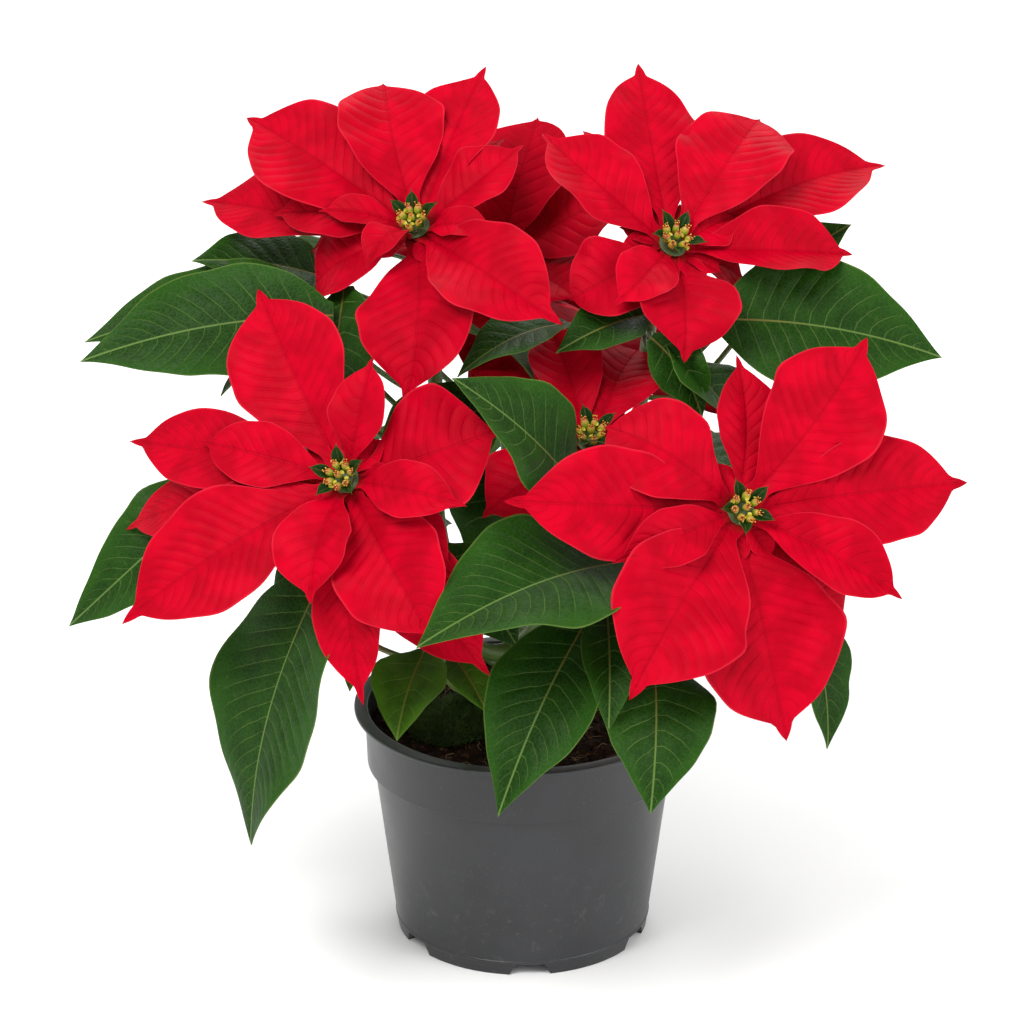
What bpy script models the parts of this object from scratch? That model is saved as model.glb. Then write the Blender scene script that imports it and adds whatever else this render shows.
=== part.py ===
"""A poinsettia in its 13 cm nursery pot: pot, soil, moss, a woody main stem, leafy stems and red blooms.

Tables are in millimetres from the pot's axis at the foot, with -Y towards the viewer and +Z up.
"""
import math
from collections import namedtuple

import bmesh
import bpy
from mathutils import Matrix, Vector
from mathutils.bvhtree import BVHTree

MM = 0.001
GAP = 0.3

# Pot: a thin turned shell with a flange for a lip, a collar, and a foot ring with notches.
POT_HEIGHT = 92.7
LIP_RADIUS = 65.0
LIP_THICKNESS = 1.5
COLLAR_TOP_RADIUS = 61.0
COLLAR_FOOT_RADIUS = 60.0
COLLAR_FOOT_HEIGHT = 69.5
BODY_TOP_RADIUS = 57.6
FOOT_RADIUS = 48.8
FOOT_RING_WIDTH = 3.2
WALL = 1.3
FLOOR_UNDERSIDE = 5.2
POT_SIDES = 36
NOTCHES = 6
FIRST_NOTCH = math.radians(3.3)
NOTCH_FOOT_WIDTH = 17.0
NOTCH_TOP_WIDTH = 11.3
NOTCH_HEIGHT = 4.65
DRAIN_RADIUS = 4.0
DRAIN_CIRCLE = 36.0

# Soil and moss
SOIL_TOP = 85.0
SOIL_RELIEF = 1.6
MOSS_CENTRE = (-27.0, -8.0)
MOSS_SIZE = (17.0, 15.0, 12.0)
MOSS_LIFT = 2.2
MOSS_SKIRT = 0.8

# Main stem and the stems that grow from it
TRUNK_RADIUS = 5.5
TRUNK_FOOT = 58.0
TRUNK_TOP = 128.0
STEM_RADIUS = 3.1
STEM_TIP_RADIUS = 2.3
PETIOLE_RADIUS = 1.1
TUBE_SIDES = 6
STEM_SHARES = (0.0, 0.03, 0.25, 0.5, 0.75, 0.97, 1.0)
PETIOLE_SHIFTS = (0.0, 0.06, -0.06, 0.12, -0.12, 0.18, -0.18, 0.24, -0.24, 0.3, -0.3)
LOWEST_PETIOLE = 0.12
HIGHEST_PETIOLE = 0.97
PETIOLE_SAG = 0.12

# Blooms: a small hub carries the bracts round its side and the cyathia on its top.
HUB_RADIUS = 5.8
HUB_HEIGHT = 6.0
BRACT_ROOT = 3.6
STEEP_RISE = 16.0
ROOT_SPREAD = 0.36
CYATHIA_DISC_RADIUS = 4.0
CYATHIA_DISC_HEIGHT = 1.6
CYATHIA_ROOM = 4.7
BUDS = 6
BUD_RADIUS = 1.35
BUD_LENGTH = 3.4
BUD_RING = 3.1
BUD_RISE = 2.2
BUD_LEAN = 0.3
BRACTLETS = 5
BRACTLET_LENGTH = 12.0
BRACTLET_WIDTH = 5.0
BRACTLET_THICKNESS = 0.9
BRACTLET_ROOT = 3.6
BRACTLET_ROOM = 1.2
BRACTLET_SINK = 1.5
BRACTLET_TRIES = tuple((turn, lean) for lean in (46, 38, 30, 22, 14) for turn in (0, 8, -8, 16, -16, 24, -24))

# Blades: stations run from the root to the tip, and three points go across.
BLADE_THICKNESS = 0.7
STATIONS = (0.0, 0.11, 0.29, 0.52, 0.76, 1.0)
SHORT_STATIONS = (0.0, 0.13, 0.38, 0.68, 1.0)
SHORT_BLADE = 60.0
ACROSS = (-1.0, 0.0, 1.0)
ROOT_SHARE = 0.07
TIP_WIDTH = 0.5
TIP_TAPER = 1.5
WAVE_SHARE = 0.10
WAVES = 1.6
CLEARANCE = 1.3
BEND_STEP = 2.0
NEAR_BENDS = 7
FAR_BENDS = 18
NEAR_HUB = 0.30
TOWARDS_VIEWER = Vector((0.0, -0.93, 0.36))
BACK_HALF = 45.0
END_ON = 0.8

# Outlines: how the width grows and falls, the share of the length that is stalk, and the drawn-out tip.
BRACT_OUTLINE = (1.2, 0.9, 0.07, 0.08)
ROUND_OUTLINE = (1.2, 0.7, 0.07, 0.03)
LEAF_OUTLINE = (0.85, 1.25, 0.0, 0.02)

Blade = namedtuple("Blade", "node root tip up width arch bow fold roll outline stations")
Bloom = namedtuple("Bloom", "name centre azimuth elevation bracts ring")
Placed = namedtuple("Placed", "node whole outer")

# Each bract: its tip from the bloom's centre (x, y, z), width, arch and sideways bow as shares of its
# length, fold at the midrib and roll in degrees, outline.
BLOOMS = (
    Bloom("lower_right", (78, -72, 200), 21, 33, (
        (84, 28, 0, 42, 0.08, 0, 12, 0, BRACT_OUTLINE),
        (58, -8, -31, 30, 0.10, 0, 24, 0, BRACT_OUTLINE),
        (-41, -54, -50, 54, 0.10, 0.035, 14, 0, BRACT_OUTLINE),
        (-85, -22, 12, 43, 0.08, -0.015, 12, 0, BRACT_OUTLINE),
        (-1, 31, 48, 25, 0.06, 0.045, 14, 0, BRACT_OUTLINE),
        (-47, -33, -7, 22, 0.12, 0, 10, 0, BRACT_OUTLINE),
        (16, -34, -75, 60, 0.10, 0.035, 10, 0, BRACT_OUTLINE),
        (47, 42, 51, 46, 0.08, 0.025, 12, 0, BRACT_OUTLINE),
        (-49, 8, 29, 38, 0.22, 0, 8, 0, ROUND_OUTLINE),
        (40, 11, -49, 30, 0.10, 0, 10, 0, BRACT_OUTLINE),
    ), None),
    Bloom("lower_left", (-64, -72, 212), -26, 37, (
        (-33, 56, 53, 46, 0.06, 0, 12, 0, BRACT_OUTLINE),
        (10, 17, 40, 23, 0.10, 0.03, 12, 0, BRACT_OUTLINE),
        (-11, -34, -34, 33, 0.12, 0.035, 22, 0, BRACT_OUTLINE),
        (-53, 25, 5, 25, 0.10, 0, 12, 0, BRACT_OUTLINE),
        (-55, -2, -31, 34, 0.10, 0, 10, 0, BRACT_OUTLINE),
        (-80, -4, -54, 46, 0.08, 0, 10, 0, BRACT_OUTLINE),
        (34, -47, -44, 43, 0.10, 0, 12, 0, BRACT_OUTLINE),
        (44, -29, 1, 22, 0.12, 0, 12, 0, BRACT_OUTLINE),
        (57, -2, 20, 50, 0.08, 0.035, 12, 0, BRACT_OUTLINE),
        (-81, 42, -1, 31, 0.08, 0, 12, 0, BRACT_OUTLINE),
        (40, -26, -25, 27, 0.12, 0, 10, 0, BRACT_OUTLINE),
        (7, -36, -72, 28, 0.10, 0, 10, 0, BRACT_OUTLINE),
        (52, -41, -59, 34, 0.10, 0, 10, 0, BRACT_OUTLINE),
        (-84, 52, -40, 26, 0.12, 0, 10, 0, BRACT_OUTLINE),
    ), None),
    Bloom("upper_left", (-40, 14, 280), -24, 53, (
        (-65, 48, 28, 45, 0.10, -0.02, 12, 0, BRACT_OUTLINE),
        (26, 48, 48, 36, 0.05, 0, 12, 0, BRACT_OUTLINE),
        (40, 14, 27, 28, 0.08, 0.065, 16, 0, BRACT_OUTLINE),
        (-3, -53, -52, 46, 0.12, -0.075, 12, 0, BRACT_OUTLINE),
        (54, -50, -22, 42, 0.12, 0.035, 20, 0, BRACT_OUTLINE),
        (-54, 17, -1, 27, 0.12, 0, 12, 0, BRACT_OUTLINE),
        (-12, 46, 40, 42, 0.14, 0, 8, 24, ROUND_OUTLINE),
        (-84, 46, -2, 33, 0.08, -0.04, 14, 0, BRACT_OUTLINE),
        (-18, -24, -10, 16, 0.30, 0, 16, 0, BRACT_OUTLINE),
        (-38, 8, -26, 33, 0.22, -0.075, 10, 0, ROUND_OUTLINE),
        (30, -17, 3, 15, 0.15, 0, 14, 0, BRACT_OUTLINE),
        (-36, 2, 5, 14, 0.15, 0, 14, 0, BRACT_OUTLINE),
        (33, 39, 22, 22, 0.10, 0, 12, 0, BRACT_OUTLINE),
        (-41, 37, -22, 26, 0.10, 0, 10, 0, BRACT_OUTLINE),
    ), None),
    Bloom("upper_right", (56, 14, 273), 24, 53, (
        (-12, 60, 53, 39, 0.05, -0.025, 12, 0, BRACT_OUTLINE),
        (3, -37, -34, 41, 0.12, -0.02, 16, 0, BRACT_OUTLINE),
        (68, 15, -9, 36, 0.10, 0.06, 28, 0, BRACT_OUTLINE),
        (-49, 23, 36, 38, 0.08, -0.065, 16, 0, BRACT_OUTLINE),
        (85, 55, 19, 38, 0.08, -0.02, 20, 0, BRACT_OUTLINE),
        (34, 46, 35, 44, 0.14, 0, 8, -15, ROUND_OUTLINE),
        (-39, -21, -15, 34, 0.15, -0.055, 10, 0, ROUND_OUTLINE),
        (-23, -32, -14, 24, 0.15, -0.04, 14, 0, BRACT_OUTLINE),
        (-33, 47, 30, 35, 0.10, 0, 10, 0, BRACT_OUTLINE),
        (28, 16, -20, 22, 0.10, 0, 10, 0, BRACT_OUTLINE),
        (23, 12, 7, 22, 0.10, 0, 12, 0, BRACT_OUTLINE),
    ), None),
    Bloom("middle", (25, -26, 210), 0, 63, (
        (-16, 42, 32, 29, 0.05, 0, 20, 0, BRACT_OUTLINE),
        (19, 46, 19, 39, 0.14, 0, 10, 0, ROUND_OUTLINE),
        (-46, 22, 20, 18, 0.05, 0, 16, 0, BRACT_OUTLINE),
        (-40, -10, -27, 34, 0.10, 0, 10, 0, BRACT_OUTLINE),
        (28, -14, 12, 18, 0.10, 0, 14, 0, BRACT_OUTLINE),
    ), None),
    Bloom("back", (-9, 70, 248), 10, 62, (
        (15, 25, 51, 42, 0.16, 0, 10, -20, ROUND_OUTLINE),
        (31, -30, -6, 44, 0.10, 0, 10, 0, BRACT_OUTLINE),
        (52, 10, 18, 42, 0.10, 0, 10, 0, BRACT_OUTLINE),
        (33, 40, 31, 36, 0.10, 0, 12, 0, BRACT_OUTLINE),
    ), (4, 100, 160, 66, 34, 2)),
    Bloom("rear", (24, 92, 208), 170, 40, (), (6, 40, 290, 64, 36, 0)),
)

# Each leaf: its stem, how far up that stem it grows, the blade's root and tip, width, arch, bow, fold, roll.
LEAVES = (
    ("lower_right", 0.62, (38, -72, 180), (-37, -138, 175), 58, 0.08, 0, 10, 0),
    ("lower_right", 0.74, (20, -58, 202), (-25, -80, 253), 46, 0.06, 0, 10, 0),
    ("lower_left", 0.66, (-70, -70, 178), (-100, -108, 82), 61, 0.10, -0.02, 8, 0),
    ("lower_right", 0.40, (23, -78, 160), (-9, -120, 102), 43, 0.10, 0, 12, 0),
    ("lower_right", 0.50, (47, -84, 147), (45, -122, 104), 42, 0.12, 0, 12, 0),
    ("lower_right", 0.45, (30, -80, 164), (30, -112, 131), 24, 0.10, 0, 24, 0),
    ("upper_left", 0.62, (-70, -8, 252), (-163, -16, 237), 46, 0.05, 0, 8, -48),
    ("upper_left", 0.80, (-74, 52, 247), (-125, 34, 260), 36, 0.05, 0, 8, -50),
    ("upper_left", 0.55, (-78, 30, 246), (-165, 18, 233), 38, 0.05, 0, 8, -48),
    ("lower_left", 0.74, (-108, -6, 189), (-171, -28, 136), 40, 0.06, -0.16, 8, -40),
    ("upper_right", 0.66, (72, 6, 246), (157, -4, 235), 56, 0.05, 0, 8, 50),
    ("upper_right", 0.56, (95, 42, 246), (125, 48, 270), 26, 0.06, 0, 12, 50),
    ("low_shoot", 0.95, (-36, -55, 138), (-46, -82, 114), 30, 0.10, 0, 12, 0),
    ("low_shoot", 0.60, (-26, -58, 138), (-13, -78, 123), 16, 0.10, 0, 18, 0),
    ("low_shoot", 0.80, (-57, -45, 138), (-64, -58, 123), 15, 0.10, 0, 12, 0),
    ("lower_right", 0.66, (102, -54, 153), (111, -78, 109), 27, 0.10, 0, 12, 0),
    ("upper_right", 0.72, (16, -2, 247), (-24, -30, 236), 26, 0.10, 0, 12, 0),
    ("upper_right", 0.76, (46, 2, 249), (12, -18, 241), 24, 0.10, 0, 12, 0),
    ("upper_right", 0.68, (47, -12, 245), (66, -40, 224), 22, 0.10, 0, 20, 55),
    ("upper_right", 0.60, (54, 2, 237), (84, -14, 206), 42, 0.10, 0.16, 10, 0),
    ("upper_left", 0.72, (-66, 6, 258), (-64, -24, 212), 40, 0.10, 0, 10, 0),
    ("upper_left", 0.48, (-84, 10, 233), (-113, 0, 218), 26, 0.10, 0, 10, 0),
    ("lower_left", 0.56, (-30, -50, 176), (-2, -62, 142), 34, 0.10, 0, 10, 0),
    ("middle", 0.44, (4, 10, 190), (-12, -16, 146), 50, 0.10, 0, 10, 0),
    ("upper_right", 0.42, (70, 26, 186), (116, 40, 156), 42, 0.10, 0, 10, 0),
    ("upper_right", 0.30, (54, -14, 160), (92, -30, 130), 38, 0.10, 0, 10, 0),
    ("upper_left", 0.42, (-66, 22, 190), (-110, 40, 160), 42, 0.10, 0, 10, 0),
    ("upper_left", 0.32, (-54, -10, 170), (-96, -26, 140), 40, 0.10, 0, 10, 0),
    ("back", 0.44, (22, 48, 190), (72, 68, 166), 40, 0.10, 0, 10, 0),
    ("middle", 0.60, (-10, 6, 214), (-52, -16, 176), 42, 0.10, 0, 10, -45),
    ("middle", 0.50, (44, 4, 198), (96, -22, 182), 42, 0.10, 0, 10, 0),
    ("upper_left", 0.66, (-30, 26, 236), (4, 4, 222), 36, 0.10, 0, 10, 0),
    ("back", 0.94, (-40, 92, 240), (-112, 118, 230), 46, 0.10, 0, 10, 0),
    ("back", 0.70, (-14, 104, 222), (-40, 150, 204), 42, 0.10, 0, 10, 0),
    ("back", 0.60, (-46, 62, 226), (-128, 72, 206), 44, 0.10, 0, 10, 0),
    ("rear", 0.80, (66, 78, 190), (134, 78, 176), 46, 0.10, 0, 10, 0),
    ("rear", 0.70, (2, 110, 176), (-24, 146, 130), 46, 0.10, 0, 10, 0),
    ("rear", 0.62, (54, 98, 170), (84, 132, 124), 46, 0.10, 0, 10, 0),
    ("rear", 0.55, (-28, 74, 176), (-88, 108, 142), 44, 0.10, 0, 10, 0),
    ("rear", 0.42, (46, 60, 150), (112, 76, 122), 44, 0.10, 0, 10, 0),
    ("low_back_shoot", 0.95, (-54, 34, 150), (-118, 42, 118), 42, 0.10, 0, 10, 0),
    ("low_back_shoot", 0.70, (-34, 56, 140), (-62, 98, 106), 38, 0.10, 0, 10, 0),
    ("lower_right", 0.86, (77, -46, 194), (92, -70, 169), 44, 0.06, 0, 10, 0),
    ("lower_right", 0.90, (80, -50, 190), (42, -62, 183), 36, 0.06, 0, 10, -20),
)

# Stems: bearing from the front in degrees, height where each leaves the main stem, and its end.
# A bloom's stem ends under the bloom, and a shoot's stem at the place given.
STEMS = {
    "lower_right": (52, 112, None),
    "lower_left": (-44, 116, None),
    "upper_left": (-100, 124, None),
    "upper_right": (98, 122, None),
    "middle": (4, 124, None),
    "back": (176, 125, None),
    "rear": (140, 112, None),
    "low_shoot": (-20, 100, (-34, -42, 140)),
    "low_back_shoot": (-142, 104, (-44, 32, 142)),
}

COLOURS = {
    "pot": ((0.052, 0.054, 0.060), 0.55),
    "soil": ((0.020, 0.010, 0.006), 0.95),
    "moss": ((0.020, 0.045, 0.010), 0.95),
    "trunk": ((0.110, 0.075, 0.040), 0.80),
    "leaf": ((0.018, 0.085, 0.022), 0.45),
    "bract": ((0.680, 0.004, 0.016), 0.50),
    "cyathia": ((0.420, 0.480, 0.040), 0.45),
}


def clear_scene():
    for obj in list(bpy.data.objects):
        bpy.data.objects.remove(obj)


def collection(name, hidden=False):
    made = bpy.data.collections.new(name)
    bpy.context.scene.collection.children.link(made)
    made.hide_render = hidden
    return made


def material(name):
    colour, roughness = COLOURS[name]
    made = bpy.data.materials.new(name)
    made.use_nodes = True
    shader = made.node_tree.nodes["Principled BSDF"]
    shader.inputs["Base Color"].default_value = (*colour, 1.0)
    shader.inputs["Roughness"].default_value = roughness
    shader.inputs["Metallic"].default_value = 0.0
    return made


def mesh_object(name, mesh, group):
    obj = bpy.data.objects.new(name, mesh)
    group.objects.link(obj)
    return obj


def evaluated_mesh(obj):
    graph = bpy.context.evaluated_depsgraph_get()
    return bpy.data.meshes.new_from_object(obj.evaluated_get(graph))


def apply_modifiers(obj):
    mesh = evaluated_mesh(obj)
    obj.modifiers.clear()
    obj.data = mesh


def fill_pockets(mesh):
    """Deletes the closed shells that face inwards: sealed pockets between blades that cross."""
    shape = bmesh.new()
    shape.from_mesh(mesh)
    left = set(shape.faces)
    pockets = []
    while left:
        island = [left.pop()]
        for face in island:
            for edge in face.edges:
                for other in edge.link_faces:
                    if other in left:
                        left.remove(other)
                        island.append(other)
        corners = [[loop.vert.co for loop in face.loops] for face in island]
        volume = sum(c[0].dot(c[i].cross(c[i + 1])) for c in corners for i in range(1, len(c) - 1))
        if volume < 0:
            pockets += island
    bmesh.ops.delete(shape, geom=pockets, context="FACES")
    shape.to_mesh(mesh)
    shape.free()


def boolean(obj, operation, group, solver):
    modifier = obj.modifiers.new(operation.lower(), "BOOLEAN")
    modifier.operation = operation
    modifier.operand_type = "COLLECTION"
    modifier.collection = group
    modifier.solver = solver
    apply_modifiers(obj)
    if operation == "UNION":
        fill_pockets(obj.data)
    for cutter in list(group.objects):
        bpy.data.objects.remove(cutter)


def cone_mesh(name, sides, foot, top, height):
    shape = bmesh.new()
    bmesh.ops.create_cone(shape, cap_ends=True, segments=sides, radius1=foot * MM, radius2=top * MM,
                          depth=height * MM)
    mesh = bpy.data.meshes.new(name)
    shape.to_mesh(mesh)
    shape.free()
    return mesh


# Turned shapes

def turned(name, profile, sides, group):
    """Turns a profile of (radius, height) points in millimetres about the Z axis."""
    mesh = bpy.data.meshes.new(name)
    points = [(radius * MM, 0, height * MM) for radius, height in profile]
    mesh.from_pydata(points, [(i, i + 1) for i in range(len(points) - 1)], [])
    obj = mesh_object(name, mesh, group)
    screw = obj.modifiers.new("turn", "SCREW")
    screw.steps = sides
    screw.render_steps = sides
    screw.use_merge_vertices = True
    screw.merge_threshold = 1e-6
    apply_modifiers(obj)
    return obj


def body_radius(height):
    """Outer radius of the pot's body below the collar."""
    return FOOT_RADIUS + (BODY_TOP_RADIUS - FOOT_RADIUS) * height / COLLAR_FOOT_HEIGHT


def collar_radius(height):
    share = (height - COLLAR_FOOT_HEIGHT) / (POT_HEIGHT - COLLAR_FOOT_HEIGHT)
    return COLLAR_FOOT_RADIUS + (COLLAR_TOP_RADIUS - COLLAR_FOOT_RADIUS) * share


def make_pot(parts, cutters):
    floor_top = FLOOR_UNDERSIDE + WALL
    under_lip = POT_HEIGHT - LIP_THICKNESS
    inner_step = COLLAR_FOOT_HEIGHT + WALL
    profile = (
        (0, floor_top),
        (body_radius(floor_top) - WALL, floor_top),
        (BODY_TOP_RADIUS - WALL, COLLAR_FOOT_HEIGHT),
        (collar_radius(inner_step) - WALL, inner_step),
        (COLLAR_TOP_RADIUS - WALL, POT_HEIGHT),
        (LIP_RADIUS, POT_HEIGHT),
        (LIP_RADIUS, under_lip),
        (collar_radius(under_lip), under_lip),
        (COLLAR_FOOT_RADIUS, COLLAR_FOOT_HEIGHT),
        (BODY_TOP_RADIUS, COLLAR_FOOT_HEIGHT),
        (FOOT_RADIUS, 0),
        (FOOT_RADIUS - FOOT_RING_WIDTH, 0),
        (body_radius(FLOOR_UNDERSIDE) - FOOT_RING_WIDTH, FLOOR_UNDERSIDE),
        (0, FLOOR_UNDERSIDE),
    )
    pot = turned("nursery_pot", profile, POT_SIDES, parts)
    for i in range(NOTCHES):
        bearing = FIRST_NOTCH + i * math.tau / NOTCHES
        notch_cutter(bearing, cutters)
        drain_cutter(bearing, cutters)
    boolean(pot, "DIFFERENCE", cutters, "EXACT")
    return pot


def at_bearing(bearing, radius, height):
    """A point at this bearing, which is 0 at the front and grows towards +X, in millimetres."""
    return Vector((math.sin(bearing) * radius, -math.cos(bearing) * radius, height))


def notch_cutter(bearing, cutters):
    """A wedge as wide as the notch, narrower at its top, across the foot ring."""
    shape = bmesh.new()
    bmesh.ops.create_cube(shape, size=1.0)
    for vertex in shape.verts:
        top = vertex.co.z > 0
        width = NOTCH_TOP_WIDTH if top else NOTCH_FOOT_WIDTH
        height = NOTCH_HEIGHT if top else -0.6
        vertex.co = Vector((vertex.co.x * width, vertex.co.y * 4 * FOOT_RING_WIDTH, height)) * MM
    mesh = bpy.data.meshes.new("notch")
    shape.to_mesh(mesh)
    shape.free()
    obj = mesh_object("notch", mesh, cutters)
    place_cutter(obj, at_bearing(bearing, FOOT_RADIUS, 0), bearing)


def drain_cutter(bearing, cutters):
    obj = mesh_object("drain", cone_mesh("drain", 10, DRAIN_RADIUS, DRAIN_RADIUS, 4 * WALL), cutters)
    place_cutter(obj, at_bearing(bearing, DRAIN_CIRCLE, FLOOR_UNDERSIDE), bearing)


def place_cutter(obj, place, bearing):
    obj.display_type = "WIRE"
    obj.hide_render = True
    obj.matrix_world = Matrix.Translation(place * MM) @ Matrix.Rotation(bearing, 4, "Z")


def soil_relief(x, y):
    """Height of the loose soil's surface over its mean level, in millimetres."""
    crumbs = math.sin(0.31 * x + 1.3) * math.cos(0.27 * y) + 0.6 * math.sin(0.53 * x - 0.47 * y)
    return SOIL_RELIEF * crumbs * 0.6 + 0.035 * x


def make_soil(parts, cutters):
    """The soil that fills the pot, with a plain round hole that the main stem stands in."""
    floor = FLOOR_UNDERSIDE + WALL + GAP
    step = COLLAR_FOOT_HEIGHT + WALL
    top_radius = collar_radius(SOIL_TOP) - WALL - 3 * GAP
    profile = [(radius, SOIL_TOP) for radius in (0, 14, 28, 42, top_radius)]
    profile += [
        (top_radius, SOIL_TOP - 4),
        (collar_radius(step) - WALL - 3 * GAP, step + 2 * GAP),
        (BODY_TOP_RADIUS - WALL - 2 * GAP, COLLAR_FOOT_HEIGHT - GAP),
        (body_radius(floor) - WALL - 2 * GAP, floor),
        (0, floor),
    ]
    soil = turned("potting_soil", profile, 28, parts)
    for vertex in soil.data.vertices:
        if vertex.co.z > (SOIL_TOP - 1) * MM:
            vertex.co.z += soil_relief(vertex.co.x / MM, vertex.co.y / MM) * MM
    foot = TRUNK_FOOT - GAP
    depth = 2 * (SOIL_TOP - foot)
    mesh = cone_mesh("stem_hole", 16, TRUNK_RADIUS + GAP, TRUNK_RADIUS + GAP, depth)
    place_cutter(mesh_object("stem_hole", mesh, cutters), Vector((0, 0, foot + depth / 2)), 0.0)
    boolean(soil, "DIFFERENCE", cutters, "EXACT")
    return soil


def make_moss(parts):
    """A cushion of moss on the soil: a low dome with tufts raised by a formula."""
    shape = bmesh.new()
    bmesh.ops.create_uvsphere(shape, u_segments=16, v_segments=10, radius=1.0)
    for vertex in shape.verts:
        x = MOSS_CENTRE[0] + MOSS_SIZE[0] * vertex.co.x
        y = MOSS_CENTRE[1] + MOSS_SIZE[1] * vertex.co.y
        ground = SOIL_TOP + soil_relief(x, y) + MOSS_LIFT
        tufts = 1.0 + 0.3 * math.sin(0.9 * x) * math.cos(1.1 * y)
        height = MOSS_SIZE[2] * tufts if vertex.co.z > 0 else MOSS_SKIRT
        vertex.co = Vector((x, y, ground + vertex.co.z * height)) * MM
    mesh = bpy.data.meshes.new("moss")
    shape.to_mesh(mesh)
    shape.free()
    return mesh_object("moss_cushion", mesh, parts)


# Blades

def outline(shape, share):
    """Half width of a blade at this share of its length, as a share of its widest. It starts as a stalk."""
    rise, fall, stalk, tip = shape
    widest = rise / (rise + fall)
    body = min(max((share - stalk) / (1 - stalk - tip), 0.0), 1.0)
    width = (body / widest) ** rise * ((1 - body) / (1 - widest)) ** fall
    return max(width, ROOT_SHARE * (1 - share), TIP_TAPER * (1 - share) * share ** 6)


def spine(blade, share):
    """Point on the midrib, its direction, the blade's side and its upward normal."""
    chord = blade.tip - blade.root
    along = chord.normalized()
    up = (blade.up - along * blade.up.dot(along)).normalized()
    shift = up * blade.arch + along.cross(up) * blade.bow
    middle = blade.root + chord * 0.5 + shift * (2 * chord.length)
    point = (1 - share) ** 2 * blade.root + 2 * share * (1 - share) * middle + share ** 2 * blade.tip
    run = ((1 - share) * (middle - blade.root) + share * (blade.tip - middle)).normalized()
    turn = Matrix.Rotation(math.radians(blade.roll), 3, run)
    side = turn @ run.cross(up).normalized()
    return point, side, side.cross(run)


def blade_point(blade, share, across):
    """Point of the blade's middle surface: folded at the midrib, with waved edges."""
    point, side, normal = spine(blade, share)
    half = max(blade.width / 2 * outline(blade.outline, share), TIP_WIDTH / 2)
    fold = math.radians(blade.fold)
    phase = 0.11 * blade.tip.x + 0.07 * blade.tip.z + 1.9 * across
    wave = WAVE_SHARE * half * math.sin(math.tau * WAVES * share + phase) * across ** 2
    lift = half * abs(across) * math.sin(fold) + wave
    return point + side * (half * across * math.cos(fold)) + normal * lift


def blade_rows(blade):
    return [[blade_point(blade, share, across) for across in ACROSS] for share in blade.stations]


def grid_faces(rows, columns):
    """Triangles of a grid of points, split alike on every sheet."""
    faces = []
    for i in range(rows - 1):
        for j in range(columns - 1):
            a = i * columns + j
            b = a + columns
            faces += [(a, b, b + 1), (a, b + 1, a + 1)]
    return faces


def sheet_tree(blade):
    """Search tree of the blade's middle surface."""
    rows = blade_rows(blade)
    points = [point for row in rows for point in row]
    return BVHTree.FromPolygons(points, grid_faces(len(rows), len(ACROSS)))


def slab_tree(blade, first):
    """Search tree of a slab round the blade, thick enough to keep its neighbours clear."""
    shares = [share for share in blade.stations if share >= first]
    points = []
    for height in (CLEARANCE, -CLEARANCE):
        for share in shares:
            normal = spine(blade, share)[2]
            points += [blade_point(blade, share, across) + normal * height for across in ACROSS]
    count = len(points) // 2
    sheet = grid_faces(len(shares), len(ACROSS))
    faces = sheet + [tuple(i + count for i in face) for face in sheet]
    last = len(ACROSS) - 1
    for i in range(len(shares) - 1):
        for edge in (0, last):
            a = i * len(ACROSS) + edge
            b = a + len(ACROSS)
            faces += [(a, b, b + count), (a, b + count, a + count)]
    return BVHTree.FromPolygons(points, faces)


def bent(blade, distance):
    """The blade bent at its root: in the front half its tip comes nearer or goes back, else it rises."""
    along = (blade.tip - blade.root).normalized()
    up = (blade.up - along * blade.up.dot(along)).normalized()
    way = TOWARDS_VIEWER if blade.tip.y < BACK_HALF and abs(along.dot(TOWARDS_VIEWER)) < END_ON else up
    return blade._replace(tip=blade.tip + way * distance)


def bends(count):
    yield 0.0
    for i in range(1, count + 1):
        yield i * BEND_STEP
        yield -i * BEND_STEP


def crossings(blade, placed):
    """How many other blades and stems this one would cross, and how many of its own node."""
    tree = sheet_tree(blade)
    others = 0
    siblings = 0
    for thing in placed:
        if thing.node == blade.node:
            siblings += bool(tree.overlap(thing.outer))
        else:
            others += bool(tree.overlap(thing.whole))
    return others, siblings


def bend_clear(blade, placed):
    """Bends the blade by the smallest step that clears other nodes, and its own node if a small one can."""
    tried = {distance: crossings(bent(blade, distance), placed) for distance in bends(NEAR_BENDS)}
    best = min(tried, key=lambda distance: (tried[distance], abs(distance)))
    if tried[best][0]:
        tried = {distance: crossings(bent(blade, distance), placed) for distance in bends(FAR_BENDS)}
        best = min(tried, key=lambda distance: (tried[distance][0], abs(distance)))
    blade = bent(blade, best)
    placed.append(Placed(blade.node, slab_tree(blade, 0.0), slab_tree(blade, NEAR_HUB)))
    return blade


def blade_object(blade, group):
    """A thin curved blade: a grid bent along its midrib, made solid."""
    shape = bmesh.new()
    columns = len(ACROSS)
    bmesh.ops.create_grid(shape, x_segments=columns - 1, y_segments=len(blade.stations) - 1, size=1.0)
    shape.verts.ensure_lookup_table()
    for i, share in enumerate(blade.stations):
        for j, across in enumerate(ACROSS):
            shape.verts[i * columns + j].co = blade_point(blade, share, across) * MM
    bmesh.ops.triangulate(shape, faces=shape.faces[:], quad_method="FIXED")
    mesh = bpy.data.meshes.new("blade")
    shape.to_mesh(mesh)
    shape.free()
    obj = mesh_object("blade", mesh, group)
    solid = obj.modifiers.new("thickness", "SOLIDIFY")
    solid.thickness = BLADE_THICKNESS * MM
    solid.offset = 0.0
    apply_modifiers(obj)
    return obj


# Stems

def facing(bloom):
    azimuth = math.radians(bloom.azimuth)
    elevation = math.radians(bloom.elevation)
    level = math.cos(elevation)
    return Vector((math.sin(azimuth) * level, -math.cos(azimuth) * level, math.sin(elevation)))


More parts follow.
